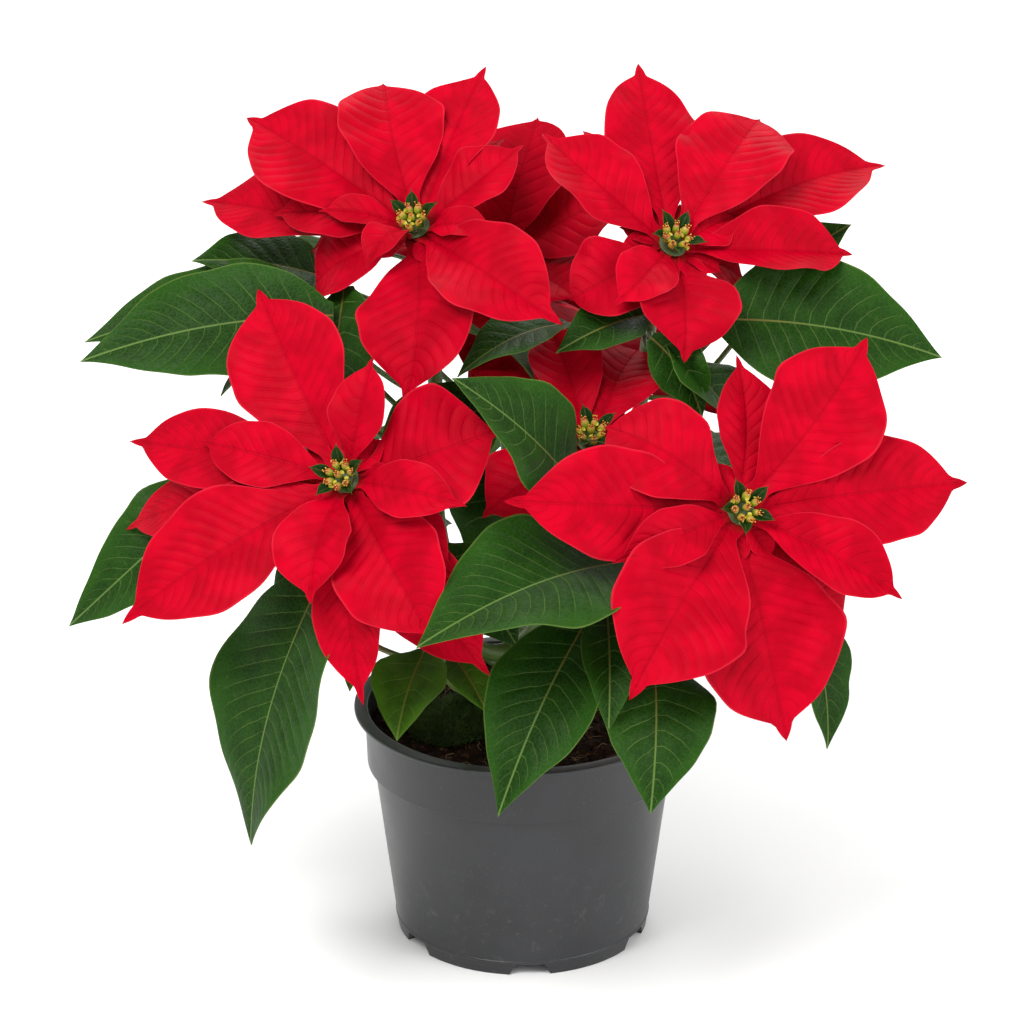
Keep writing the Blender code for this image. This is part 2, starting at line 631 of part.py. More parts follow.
def bezier(points, share):
    a, b, c, d = points
    rest = 1 - share
    return rest ** 3 * a + 3 * rest ** 2 * share * b + 3 * rest * share ** 2 * c + share ** 3 * d


def stem_route(name):
    """Four control points: out from the main stem's side, then up to the bloom or the shoot's end."""
    bearing, height, end = STEMS[name]
    outward = at_bearing(math.radians(bearing), 1.0, 0.0)
    start = outward * (TRUNK_RADIUS + 1.2 * GAP) + Vector((0, 0, height))
    if end is None:
        bloom = next(bloom for bloom in BLOOMS if bloom.name == name)
        down = facing(bloom)
        end = Vector(bloom.centre) - down * (HUB_HEIGHT + GAP)
    else:
        end = Vector(end)
        down = Vector((0, 0, 1))
    reach = (end - start).length
    away = outward + Vector((0, 0, 0.07))
    return start, start + away * 0.3 * reach, end - down * 0.4 * reach, end


def tube_tree(path, radius):
    """Search tree of a six-sided tube along a path."""
    points = []
    for i, point in enumerate(path):
        run = (path[min(i + 1, len(path) - 1)] - path[max(i - 1, 0)]).normalized()
        side = run.orthogonal().normalized()
        for k in range(TUBE_SIDES):
            points.append(point + Matrix.Rotation(k * math.tau / TUBE_SIDES, 3, run) @ side * radius)
    faces = []
    for i in range(len(path) - 1):
        for k in range(TUBE_SIDES):
            a = i * TUBE_SIDES + k
            b = i * TUBE_SIDES + (k + 1) % TUBE_SIDES
            faces.append((a, b, b + TUBE_SIDES, a + TUBE_SIDES))
    return BVHTree.FromPolygons(points, faces)


def tube_object(name, path, radii, resolution, group):
    """A tube along a path, as a mesh with welded caps. Resolution 1 gives it six sides, and 0 four."""
    curve = bpy.data.curves.new(name, "CURVE")
    curve.dimensions = "3D"
    curve.bevel_depth = MM
    curve.bevel_resolution = resolution
    curve.use_fill_caps = True
    spline = curve.splines.new("POLY")
    spline.points.add(len(path) - 1)
    for place, point, radius in zip(spline.points, path, radii):
        place.co = (*(point * MM), 1.0)
        place.radius = radius
    guide = bpy.data.objects.new(name, curve)
    group.objects.link(guide)
    mesh = evaluated_mesh(guide)
    bpy.data.objects.remove(guide)
    shape = bmesh.new()
    shape.from_mesh(mesh)
    bmesh.ops.remove_doubles(shape, verts=shape.verts[:], dist=1e-6)
    bmesh.ops.recalc_face_normals(shape, faces=shape.faces[:])
    shape.to_mesh(mesh)
    shape.free()
    return mesh_object(name, mesh, group)


def stem_path(name):
    route = stem_route(name)
    return [bezier(route, share) for share in STEM_SHARES]


def petiole_path(stem, height, blade):
    """From inside the stem to just inside the blade, sagging a little."""
    start = bezier(stem_route(stem), height)
    end = spine(blade, 0.05)[0]
    middle = (start + end) / 2 - Vector((0, 0, PETIOLE_SAG * (end - start).length))
    return [(1 - t) ** 2 * start + 2 * t * (1 - t) * middle + t ** 2 * end for t in (0.0, 0.5, 1.0)]


def place_leaf(row, placed):
    """The leaf's blade bent clear, and its petiole from the nearest height of stem that is clear too."""
    stem, height, root, tip, width, arch, bow, fold, roll = row
    node = "leafy_stem_" + stem
    root = Vector(root)
    tip = Vector(tip)
    outward = Vector((tip.x, tip.y, 0)).normalized()
    blade = Blade(node, root, tip, Vector((0, 0, 1)) + outward * 0.6, width, arch, bow, fold, roll,
                  LEAF_OUTLINE, SHORT_STATIONS if (tip - root).length < SHORT_BLADE else STATIONS)
    blade = bend_clear(blade, placed)
    for shift in PETIOLE_SHIFTS:
        start = min(max(height + shift, LOWEST_PETIOLE), HIGHEST_PETIOLE)
        path = petiole_path(stem, start, blade)
        tree = tube_tree(path, PETIOLE_RADIUS)
        if not any(thing.node != node and tree.overlap(thing.whole) for thing in placed):
            break
    tree = tube_tree(path, PETIOLE_RADIUS + CLEARANCE)
    placed.append(Placed(node, tree, tree))
    return blade, path


# Blooms

def bloom_frame(bloom):
    """Turns the bloom's own Z axis into the way that it faces."""
    return facing(bloom).to_track_quat("Z", "Y").to_matrix()


def ring_tips(bloom):
    """Tips of a whole ring of bracts that the viewer doesn't see, longer ones below shorter ones."""
    if bloom.ring is None:
        return
    count, first, sweep, length, width, lift = bloom.ring
    frame = bloom_frame(bloom)
    for i in range(count):
        clock = math.radians(first + sweep * i / (count - 1))
        stretch = 1.0 + 0.12 * math.sin(2.4 * i)
        flat = Vector((math.cos(clock), math.sin(clock), 0)) * length * stretch
        bow = 0.04 * math.sin(1.7 * i + 0.5)
        yield (*(frame @ (flat + Vector((0, 0, -10 + lift)))), width * stretch, 0.10, bow, 12, 0, BRACT_OUTLINE)
    for i in range(count - 1):
        clock = math.radians(first + sweep * (i + 0.5) / (count - 1))
        flat = Vector((math.cos(clock), math.sin(clock), 0)) * 0.62 * length
        yield (*(frame @ (flat + Vector((0, 0, 12 + lift)))), 0.66 * width, 0.10, 0, 14, 0, BRACT_OUTLINE)


def place_bracts(bloom, placed):
    """Blades of one bloom, each rooted in the hub with the steep ones highest, and bent clear."""
    up = facing(bloom)
    centre = Vector(bloom.centre)
    node = "bracts_" + bloom.name
    blades = []
    for x, y, z, width, arch, bow, fold, roll, shape in (*bloom.bracts, *ring_tips(bloom)):
        reach = Vector((x, y, z))
        outward = (reach - up * reach.dot(up)).normalized()
        rise = min(max(reach.dot(up) / STEEP_RISE, -1.0), 1.0)
        depth = HUB_HEIGHT * (0.5 - ROOT_SPREAD * rise)
        root = centre - up * depth + outward * (BRACT_ROOT + max(rise, 0.0))
        stations = SHORT_STATIONS if reach.length < SHORT_BLADE else STATIONS
        blade = Blade(node, root, centre + reach, up, width, arch, bow, fold, roll, shape, stations)
        blades.append(bend_clear(blade, placed))
    return blades


def cyathia_core(bloom):
    """Path of the short column that the cyathia fill, kept clear by the bracts."""
    up = facing(bloom)
    return [Vector(bloom.centre), Vector(bloom.centre) + up * (BUD_LENGTH + 3.0)]


def hub_object(bloom, group):
    mesh = cone_mesh("hub", 10, 0.6 * HUB_RADIUS, HUB_RADIUS, HUB_HEIGHT)
    obj = mesh_object("bracts_" + bloom.name, mesh, group)
    centre = Vector(bloom.centre) - facing(bloom) * HUB_HEIGHT / 2
    transform_mesh(obj, centre, bloom_frame(bloom))
    return obj


def transform_mesh(obj, place, turn):
    obj.data.transform(Matrix.Translation(place * MM) @ turn.to_4x4())


def bud_places():
    """Places and leans of the cyathia: one in the middle and a ring round it, in the bloom's frame."""
    straight = Vector((0, 0, 1))
    yield straight * (BUD_RISE + 0.6), straight
    for i in range(BUDS - 1):
        clock = i * math.tau / (BUDS - 1) + 0.3
        out = Vector((math.cos(clock), math.sin(clock), 0))
        yield out * BUD_RING + straight * (BUD_RISE + 0.35 * math.sin(2.1 * i)), straight + out * BUD_LEAN


def bractlet_mesh():
    """A small green bract as a flat spindle, pointed at both ends and 0.8 mm thick in its middle."""
    shape = bmesh.new()
    bmesh.ops.create_uvsphere(shape, u_segments=4, v_segments=2, radius=0.5 * MM)
    size = Matrix.Diagonal((BRACTLET_WIDTH, BRACTLET_THICKNESS, BRACTLET_LENGTH))
    bmesh.ops.transform(shape, matrix=size.to_4x4(), verts=shape.verts[:])
    mesh = bpy.data.meshes.new("bractlet")
    shape.to_mesh(mesh)
    shape.free()
    return mesh


def place_bractlets(bloom, placed):
    """Root and turn of each bractlet that has room, at the smallest steps that clear the bracts."""
    frame = bloom_frame(bloom)
    middle = Vector(bloom.centre) + facing(bloom) * (GAP + CYATHIA_DISC_HEIGHT / 2)
    node = "cyathia_" + bloom.name
    chosen = []
    for i in range(BRACTLETS):
        clock = i * math.tau / BRACTLETS + 0.6
        for turn, lean in BRACTLET_TRIES:
            angle = clock + math.radians(turn)
            out = frame @ Vector((math.cos(angle), math.sin(angle), 0))
            root = middle + out * BRACTLET_ROOT
            way = out * math.sin(math.radians(lean)) + facing(bloom) * math.cos(math.radians(lean))
            tree = tube_tree([root, root + way * BRACTLET_LENGTH], BRACTLET_ROOM)
            if not any(thing.node != node and tree.overlap(thing.whole) for thing in placed):
                side = facing(bloom).cross(out)
                chosen.append((root, Matrix((side, way.cross(side), way)).transposed()))
                break
    return chosen


def make_cyathia(bloom, bractlets, parts, pieces):
    """A low disc with a bud in its middle, a ring of buds, and green bractlets round its edge."""
    frame = bloom_frame(bloom)
    centre = Vector(bloom.centre)
    up = facing(bloom)
    mesh = cone_mesh("disc", 10, CYATHIA_DISC_RADIUS, 0.8 * CYATHIA_DISC_RADIUS, CYATHIA_DISC_HEIGHT)
    disc = mesh_object("cyathia_" + bloom.name, mesh, parts)
    transform_mesh(disc, centre + up * (GAP + CYATHIA_DISC_HEIGHT / 2), frame)
    for place, lean in bud_places():
        bud = mesh_object("bud", cone_mesh("bud", 5, 0.75 * BUD_RADIUS, BUD_RADIUS, BUD_LENGTH), pieces)
        turn = frame @ lean.to_track_quat("Z", "Y").to_matrix()
        transform_mesh(bud, centre + up * GAP + frame @ place, turn)
    for root, turn in bractlets:
        bractlet = mesh_object("bractlet", bractlet_mesh(), pieces)
        transform_mesh(bractlet, root + turn.col[2] * (BRACTLET_LENGTH / 2 - BRACTLET_SINK), turn)
    boolean(disc, "UNION", pieces, "MANIFOLD")
    return disc


def make_bracts(bloom, blades, parts, pieces):
    hub = hub_object(bloom, parts)
    for blade in blades:
        blade_object(blade, pieces)
    boolean(hub, "UNION", pieces, "MANIFOLD")
    return hub


def make_leafy_stem(name, leaves, parts, pieces):
    path = stem_path(name)
    radii = [STEM_RADIUS + (STEM_TIP_RADIUS - STEM_RADIUS) * i / (len(path) - 1) for i in range(len(path))]
    stem = tube_object("leafy_stem_" + name, path, radii, 1, parts)
    for blade, petiole in leaves:
        blade_object(blade, pieces)
        tube_object("petiole", petiole, [PETIOLE_RADIUS] * len(petiole), 0, pieces)
    if leaves:
        boolean(stem, "UNION", pieces, "MANIFOLD")
    return stem


def make_trunk(parts):
    mesh = cone_mesh("trunk", 14, TRUNK_RADIUS, TRUNK_RADIUS, TRUNK_TOP - TRUNK_FOOT)
    trunk = mesh_object("main_stem", mesh, parts)
    transform_mesh(trunk, Vector((0, 0, (TRUNK_TOP + TRUNK_FOOT) / 2)), Matrix.Identity(3))
    return trunk


def place_everything():
    """Stems first, then the blooms from the front to the back, then the leaves."""
    placed = []
    for name in STEMS:
        tree = tube_tree(stem_path(name), STEM_RADIUS + CLEARANCE)
        placed.append(Placed("leafy_stem_" + name, tree, tree))
    for bloom in BLOOMS:
        tree = tube_tree(cyathia_core(bloom), CYATHIA_ROOM)
        placed.append(Placed("cyathia_" + bloom.name, tree, tree))
    bracts = {bloom.name: place_bracts(bloom, placed) for bloom in BLOOMS}
    leaves = {name: [] for name in STEMS}
    for row in LEAVES:
        leaves[row[0]].append(place_leaf(row, placed))
    bractlets = {bloom.name: place_bractlets(bloom, placed) for bloom in BLOOMS}
    return bracts, bractlets, leaves


def finish(obj, name):
    obj.data.materials.clear()
    obj.data.materials.append(MATERIALS[name])
    obj.data.shade_smooth()
    obj.data.set_sharp_from_angle(angle=math.radians(35))


def centre_over_origin(parts):
    """Moves everything by the same amount, so that the middle of its box stands over the origin."""
    corners = [obj.matrix_world @ Vector(corner) for obj in parts.objects for corner in obj.bound_box]
    middle = Vector((
        (min(c.x for c in corners) + max(c.x for c in corners)) / 2,
        (min(c.y for c in corners) + max(c.y for c in corners)) / 2,
        0.0,
    ))
    plant = bpy.data.objects.new("poinsettia", None)
    bpy.context.scene.collection.objects.link(plant)
    for obj in parts.objects:
        obj.parent = plant
    plant.location = -middle


clear_scene()
MATERIALS = {name: material(name) for name in COLOURS}
PARTS = collection("poinsettia")
CUTTERS = collection("cutters", hidden=True)
PIECES = collection("pieces", hidden=True)

finish(make_pot(PARTS, CUTTERS), "pot")
finish(make_soil(PARTS, CUTTERS), "soil")
finish(make_moss(PARTS), "moss")
finish(make_trunk(PARTS), "trunk")
BRACTS, BRACTLET_SETS, LEAF_SETS = place_everything()
for a_bloom in BLOOMS:
    finish(make_bracts(a_bloom, BRACTS[a_bloom.name], PARTS, PIECES), "bract")
    finish(make_cyathia(a_bloom, BRACTLET_SETS[a_bloom.name], PARTS, PIECES), "cyathia")
for stem_name, stem_leaves in LEAF_SETS.items():
    finish(make_leafy_stem(stem_name, stem_leaves, PARTS, PIECES), "leaf")
bpy.context.view_layer.update()
centre_over_origin(PARTS)
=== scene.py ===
"""A poinsettia in its nursery pot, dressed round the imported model.

Tables are in millimetres from the pot's axis at the foot, with -Y towards the viewer and +Z up. They and
the rules that bend each blade clear of its neighbours are those of the solid model, so every fine blade
lies where its solid lies.
"""
import math
from collections import namedtuple

import bmesh
import bpy
import numpy as np
from mathutils import Matrix, Vector, noise
from mathutils.bvhtree import BVHTree


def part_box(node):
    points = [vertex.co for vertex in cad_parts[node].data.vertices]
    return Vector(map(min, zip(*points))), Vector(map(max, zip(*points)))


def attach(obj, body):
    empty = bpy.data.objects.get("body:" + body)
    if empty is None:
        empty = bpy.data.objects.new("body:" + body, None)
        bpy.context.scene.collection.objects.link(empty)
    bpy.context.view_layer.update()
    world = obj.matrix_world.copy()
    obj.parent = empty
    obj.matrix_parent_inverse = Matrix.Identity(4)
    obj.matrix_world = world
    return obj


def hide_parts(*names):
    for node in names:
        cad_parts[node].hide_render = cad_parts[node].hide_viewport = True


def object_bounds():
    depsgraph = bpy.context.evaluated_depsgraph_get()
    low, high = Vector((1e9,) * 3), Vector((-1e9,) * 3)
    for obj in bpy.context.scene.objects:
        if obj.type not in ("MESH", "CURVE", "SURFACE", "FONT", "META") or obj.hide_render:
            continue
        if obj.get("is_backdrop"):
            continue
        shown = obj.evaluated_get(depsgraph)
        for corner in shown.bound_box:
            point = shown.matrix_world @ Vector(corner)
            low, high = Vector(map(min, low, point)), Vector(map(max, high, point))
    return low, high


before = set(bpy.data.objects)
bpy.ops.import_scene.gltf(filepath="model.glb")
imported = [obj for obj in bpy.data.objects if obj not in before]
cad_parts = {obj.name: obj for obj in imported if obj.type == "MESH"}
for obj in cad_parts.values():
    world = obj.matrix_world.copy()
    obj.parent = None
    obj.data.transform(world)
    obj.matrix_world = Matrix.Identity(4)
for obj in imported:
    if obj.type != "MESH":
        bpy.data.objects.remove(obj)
CAD_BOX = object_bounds()

MM = 0.001
GAP = 0.3

# Pot: a thin turned shell with a flange for a lip, a collar, and a foot ring with notches.
POT_HEIGHT = 92.7
LIP_RADIUS = 65.0
LIP_THICKNESS = 1.5
COLLAR_TOP_RADIUS = 61.0
COLLAR_FOOT_RADIUS = 60.0
COLLAR_FOOT_HEIGHT = 69.5
BODY_TOP_RADIUS = 57.6
FOOT_RADIUS = 48.8
FOOT_RING_WIDTH = 3.2
WALL = 1.3
FLOOR_UNDERSIDE = 5.2
NOTCHES = 6
FIRST_NOTCH = math.radians(3.3)
NOTCH_FOOT_WIDTH = 17.0
NOTCH_TOP_WIDTH = 11.3
NOTCH_HEIGHT = 4.65
DRAIN_RADIUS = 4.0
DRAIN_CIRCLE = 36.0

# Soil and moss
SOIL_TOP = 85.0
SOIL_RELIEF = 1.6
MOSS_CENTRE = (-27.0, -8.0)
MOSS_SIZE = (17.0, 15.0, 12.0)

# Main stem and the stems that grow from it
TRUNK_RADIUS = 5.5
TRUNK_FOOT = 58.0
TRUNK_TOP = 128.0
STEM_RADIUS = 3.1
STEM_TIP_RADIUS = 2.3
PETIOLE_RADIUS = 1.1
TUBE_SIDES = 6
STEM_SHARES = (0.0, 0.03, 0.25, 0.5, 0.75, 0.97, 1.0)
PETIOLE_SHIFTS = (0.0, 0.06, -0.06, 0.12, -0.12, 0.18, -0.18, 0.24, -0.24, 0.3, -0.3)
LOWEST_PETIOLE = 0.12
HIGHEST_PETIOLE = 0.97
PETIOLE_SAG = 0.12
PETIOLE_END = 0.05
LEAF_LEAN = 0.6

# Blooms: a small hub carries the bracts round its side and the cyathia on its top.
HUB_HEIGHT = 6.0
BRACT_ROOT = 3.6
STEEP_RISE = 16.0
ROOT_SPREAD = 0.36
OUTER_DROP = 10
INNER_RISE = 12
INNER_LENGTH = 0.62
INNER_WIDTH = 0.66
CYATHIA_DISC_HEIGHT = 1.6
CYATHIA_ROOM = 4.7
CYATHIA_HEIGHT = 6.4
BRACTLETS = 5
BRACTLET_LENGTH = 12.0
BRACTLET_ROOT = 3.6
BRACTLET_ROOM = 1.2
BRACTLET_SINK = 1.0
BRACTLET_TRIM = 1.8
BRACTLET_WIDTH = 5.2
BRACTLET_TRIES = tuple((turn, lean) for lean in (46, 38, 30, 22, 14) for turn in (0, 8, -8, 16, -16, 24, -24))

# Blades: stations run from the root to the tip, and three points go across.
STATIONS = (0.0, 0.11, 0.29, 0.52, 0.76, 1.0)
SHORT_STATIONS = (0.0, 0.13, 0.38, 0.68, 1.0)
SHORT_BLADE = 60.0
ACROSS = (-1.0, 0.0, 1.0)
ROOT_SHARE = 0.07
TIP_WIDTH = 0.5
TIP_TAPER = 1.5
WAVE_SHARE = 0.10
WAVES = 1.6
CLEARANCE = 1.3
BEND_STEP = 2.0
NEAR_BENDS = 7
FAR_BENDS = 18
NEAR_HUB = 0.30
TOWARDS_VIEWER = Vector((0.0, -0.93, 0.36))
BACK_HALF = 45.0
END_ON = 0.8

# Outlines: how the width grows and falls, the share of the length that is stalk, and the drawn-out tip.
BRACT_OUTLINE = (1.2, 0.9, 0.07, 0.08)
ROUND_OUTLINE = (1.2, 0.7, 0.07, 0.03)
LEAF_OUTLINE = (0.85, 1.25, 0.0, 0.02)

Blade = namedtuple("Blade", "root tip up width arch bow fold roll outline node stations", defaults=("", ()))
Placed = namedtuple("Placed", "node whole outer")
Bloom = namedtuple("Bloom", "name centre azimuth elevation bracts ring", defaults=(None,))
Bract = namedtuple("Bract", "x y z width arch fold bow roll outline", defaults=(0, 0, BRACT_OUTLINE))
Ring = namedtuple("Ring", "count first sweep length width lift")
Leaf = namedtuple("Leaf", "stem share root tip width arch fold bow roll", defaults=(0, 0))
Stem = namedtuple("Stem", "bearing height end", defaults=(None,))

# Each bloom: its centre, the bearing and height that it faces in degrees, and its bracts. Each bract has its
# tip from the bloom's centre (x, y, z), width, arch as a share of its length, and fold at the midrib in
# degrees. Some have a sideways bow as a share of their length, a roll in degrees, or a rounder outline.
# A ring makes the bracts that the viewer doesn't see: count, first bearing, sweep, length, width, lift.
BLOOMS = (
    Bloom("lower_right", (78, -72, 200), 21, 33, (
        Bract(84, 28, 0, 42, 0.08, 12),
        Bract(58, -8, -31, 30, 0.10, 24),
        Bract(-41, -54, -50, 54, 0.10, 14, bow=0.035),
        Bract(-85, -22, 12, 43, 0.08, 12, bow=-0.015),
        Bract(-1, 31, 48, 25, 0.06, 14, bow=0.045),
        Bract(-47, -33, -7, 22, 0.12, 10),
        Bract(16, -34, -75, 60, 0.10, 10, bow=0.035),
        Bract(47, 42, 51, 46, 0.08, 12, bow=0.025),
        Bract(-49, 8, 29, 38, 0.22, 8, outline=ROUND_OUTLINE),
        Bract(40, 11, -49, 30, 0.10, 10),
    )),
    Bloom("lower_left", (-64, -72, 212), -26, 37, (
        Bract(-33, 56, 53, 46, 0.06, 12),
        Bract(10, 17, 40, 23, 0.10, 12, bow=0.03),
        Bract(-11, -34, -34, 33, 0.12, 22, bow=0.035),
        Bract(-53, 25, 5, 25, 0.10, 12),
        Bract(-55, -2, -31, 34, 0.10, 10),
        Bract(-80, -4, -54, 46, 0.08, 10),
        Bract(34, -47, -44, 43, 0.10, 12),
        Bract(44, -29, 1, 22, 0.12, 12),
        Bract(57, -2, 20, 50, 0.08, 12, bow=0.035),
        Bract(-81, 42, -1, 31, 0.08, 12),
        Bract(40, -26, -25, 27, 0.12, 10),
        Bract(7, -36, -72, 28, 0.10, 10),
        Bract(52, -41, -59, 34, 0.10, 10),
        Bract(-84, 52, -40, 26, 0.12, 10),
    )),
    Bloom("upper_left", (-40, 14, 280), -24, 53, (
        Bract(-65, 48, 28, 45, 0.10, 12, bow=-0.02),
        Bract(26, 48, 48, 36, 0.05, 12),
        Bract(40, 14, 27, 28, 0.08, 16, bow=0.065),
        Bract(-3, -53, -52, 46, 0.12, 12, bow=-0.075),
        Bract(54, -50, -22, 42, 0.12, 20, bow=0.035),
        Bract(-54, 17, -1, 27, 0.12, 12),
        Bract(-12, 46, 40, 42, 0.14, 8, roll=24, outline=ROUND_OUTLINE),
        Bract(-84, 46, -2, 33, 0.08, 14, bow=-0.04),
        Bract(-18, -24, -10, 16, 0.30, 16),
        Bract(-38, 8, -26, 33, 0.22, 10, bow=-0.075, outline=ROUND_OUTLINE),
        Bract(30, -17, 3, 15, 0.15, 14),
        Bract(-36, 2, 5, 14, 0.15, 14),
        Bract(33, 39, 22, 22, 0.10, 12),
        Bract(-41, 37, -22, 26, 0.10, 10),
    )),
    Bloom("upper_right", (56, 14, 273), 24, 53, (
        Bract(-12, 60, 53, 39, 0.05, 12, bow=-0.025),
        Bract(3, -37, -34, 41, 0.12, 16, bow=-0.02),
        Bract(68, 15, -9, 36, 0.10, 28, bow=0.06),
        Bract(-49, 23, 36, 38, 0.08, 16, bow=-0.065),
        Bract(85, 55, 19, 38, 0.08, 20, bow=-0.02),
        Bract(34, 46, 35, 44, 0.14, 8, roll=-15, outline=ROUND_OUTLINE),
        Bract(-39, -21, -15, 34, 0.15, 10, bow=-0.055, outline=ROUND_OUTLINE),
        Bract(-23, -32, -14, 24, 0.15, 14, bow=-0.04),
        Bract(-33, 47, 30, 35, 0.10, 10),
        Bract(28, 16, -20, 22, 0.10, 10),
        Bract(23, 12, 7, 22, 0.10, 12),
    )),
    Bloom("middle", (25, -26, 210), 0, 63, (
        Bract(-16, 42, 32, 29, 0.05, 20),
        Bract(19, 46, 19, 39, 0.14, 10, outline=ROUND_OUTLINE),
        Bract(-46, 22, 20, 18, 0.05, 16),
        Bract(-40, -10, -27, 34, 0.10, 10),
        Bract(28, -14, 12, 18, 0.10, 14),
    )),
    Bloom("back", (-9, 70, 248), 10, 62, (
        Bract(15, 25, 51, 42, 0.16, 10, roll=-20, outline=ROUND_OUTLINE),
        Bract(31, -30, -6, 44, 0.10, 10),
        Bract(52, 10, 18, 42, 0.10, 10),
        Bract(33, 40, 31, 36, 0.10, 12),
    ), Ring(4, 100, 160, 66, 34, 2)),
    Bloom("rear", (24, 92, 208), 170, 40, (), Ring(6, 40, 290, 64, 36, 0)),
)

# Each leaf: its stem, how far up that stem it grows, the blade's root and tip, width, arch and fold. Some
# have a bow or a roll.
LEAVES = (
    Leaf("lower_right", 0.62, (38, -72, 180), (-37, -138, 175), 58, 0.08, 10),
    Leaf("lower_right", 0.74, (20, -58, 202), (-25, -80, 253), 46, 0.06, 10),
    Leaf("lower_left", 0.66, (-70, -70, 178), (-100, -108, 82), 61, 0.10, 8, bow=-0.02),
    Leaf("lower_right", 0.40, (23, -78, 160), (-9, -120, 102), 43, 0.10, 12),
    Leaf("lower_right", 0.50, (47, -84, 147), (45, -122, 104), 42, 0.12, 12),
    Leaf("lower_right", 0.45, (30, -80, 164), (30, -112, 131), 24, 0.10, 24),
    Leaf("upper_left", 0.62, (-70, -8, 252), (-163, -16, 237), 46, 0.05, 8, roll=-48),
    Leaf("upper_left", 0.80, (-74, 52, 247), (-125, 34, 260), 36, 0.05, 8, roll=-50),
    Leaf("upper_left", 0.55, (-78, 30, 246), (-165, 18, 233), 38, 0.05, 8, roll=-48),
    Leaf("lower_left", 0.74, (-108, -6, 189), (-171, -28, 136), 40, 0.06, 8, bow=-0.16, roll=-40),
    Leaf("upper_right", 0.66, (72, 6, 246), (157, -4, 235), 56, 0.05, 8, roll=50),
    Leaf("upper_right", 0.56, (95, 42, 246), (125, 48, 270), 26, 0.06, 12, roll=50),
    Leaf("low_shoot", 0.95, (-36, -55, 138), (-46, -82, 114), 30, 0.10, 12),
    Leaf("low_shoot", 0.60, (-26, -58, 138), (-13, -78, 123), 16, 0.10, 18),
    Leaf("low_shoot", 0.80, (-57, -45, 138), (-64, -58, 123), 15, 0.10, 12),
    Leaf("lower_right", 0.66, (102, -54, 153), (111, -78, 109), 27, 0.10, 12),
    Leaf("upper_right", 0.72, (16, -2, 247), (-24, -30, 236), 26, 0.10, 12),
    Leaf("upper_right", 0.76, (46, 2, 249), (12, -18, 241), 24, 0.10, 12),
    Leaf("upper_right", 0.68, (47, -12, 245), (66, -40, 224), 22, 0.10, 20, roll=55),
    Leaf("upper_right", 0.60, (54, 2, 237), (84, -14, 206), 42, 0.10, 10, bow=0.16),
    Leaf("upper_left", 0.72, (-66, 6, 258), (-64, -24, 212), 40, 0.10, 10),
    Leaf("upper_left", 0.48, (-84, 10, 233), (-113, 0, 218), 26, 0.10, 10),
    Leaf("lower_left", 0.56, (-30, -50, 176), (-2, -62, 142), 34, 0.10, 10),
    Leaf("middle", 0.44, (4, 10, 190), (-12, -16, 146), 50, 0.10, 10),
    Leaf("upper_right", 0.42, (70, 26, 186), (116, 40, 156), 42, 0.10, 10),
    Leaf("upper_right", 0.30, (54, -14, 160), (92, -30, 130), 38, 0.10, 10),
    Leaf("upper_left", 0.42, (-66, 22, 190), (-110, 40, 160), 42, 0.10, 10),
    Leaf("upper_left", 0.32, (-54, -10, 170), (-96, -26, 140), 40, 0.10, 10),
    Leaf("back", 0.44, (22, 48, 190), (72, 68, 166), 40, 0.10, 10),
    Leaf("middle", 0.60, (-10, 6, 214), (-52, -16, 176), 42, 0.10, 10, roll=-45),
    Leaf("middle", 0.50, (44, 4, 198), (96, -22, 182), 42, 0.10, 10),
    Leaf("upper_left", 0.66, (-30, 26, 236), (4, 4, 222), 36, 0.10, 10),
    Leaf("back", 0.94, (-40, 92, 240), (-112, 118, 230), 46, 0.10, 10),
    Leaf("back", 0.70, (-14, 104, 222), (-40, 150, 204), 42, 0.10, 10),
    Leaf("back", 0.60, (-46, 62, 226), (-128, 72, 206), 44, 0.10, 10),
    Leaf("rear", 0.80, (66, 78, 190), (134, 78, 176), 46, 0.10, 10),
    Leaf("rear", 0.70, (2, 110, 176), (-24, 146, 130), 46, 0.10, 10),
    Leaf("rear", 0.62, (54, 98, 170), (84, 132, 124), 46, 0.10, 10),
    Leaf("rear", 0.55, (-28, 74, 176), (-88, 108, 142), 44, 0.10, 10),
    Leaf("rear", 0.42, (46, 60, 150), (112, 76, 122), 44, 0.10, 10),
    Leaf("low_back_shoot", 0.95, (-54, 34, 150), (-118, 42, 118), 42, 0.10, 10),
    Leaf("low_back_shoot", 0.70, (-34, 56, 140), (-62, 98, 106), 38, 0.10, 10),
    Leaf("lower_right", 0.86, (77, -46, 194), (92, -70, 169), 44, 0.06, 10),
    Leaf("lower_right", 0.90, (80, -50, 190), (42, -62, 183), 36, 0.06, 10, roll=-20),
)

# Stems: bearing from the front in degrees, height where each leaves the main stem, and its end.
# A bloom's stem ends under the bloom, and a shoot's stem at the place given.
STEMS = {
    "lower_right": Stem(52, 112),
    "lower_left": Stem(-44, 116),
    "upper_left": Stem(-100, 124),
    "upper_right": Stem(98, 122),
    "middle": Stem(4, 124),
    "back": Stem(176, 125),
    "rear": Stem(140, 112),
    "low_shoot": Stem(-20, 100, (-34, -42, 140)),
    "low_back_shoot": Stem(-142, 104, (-44, 32, 142)),
}



# Places, found by the rules of the solid model

def body_radius(height):
    """Outer radius of the pot's body below the collar."""
    return FOOT_RADIUS + (BODY_TOP_RADIUS - FOOT_RADIUS) * height / COLLAR_FOOT_HEIGHT


def collar_radius(height):
    share = (height - COLLAR_FOOT_HEIGHT) / (POT_HEIGHT - COLLAR_FOOT_HEIGHT)
    return COLLAR_FOOT_RADIUS + (COLLAR_TOP_RADIUS - COLLAR_FOOT_RADIUS) * share


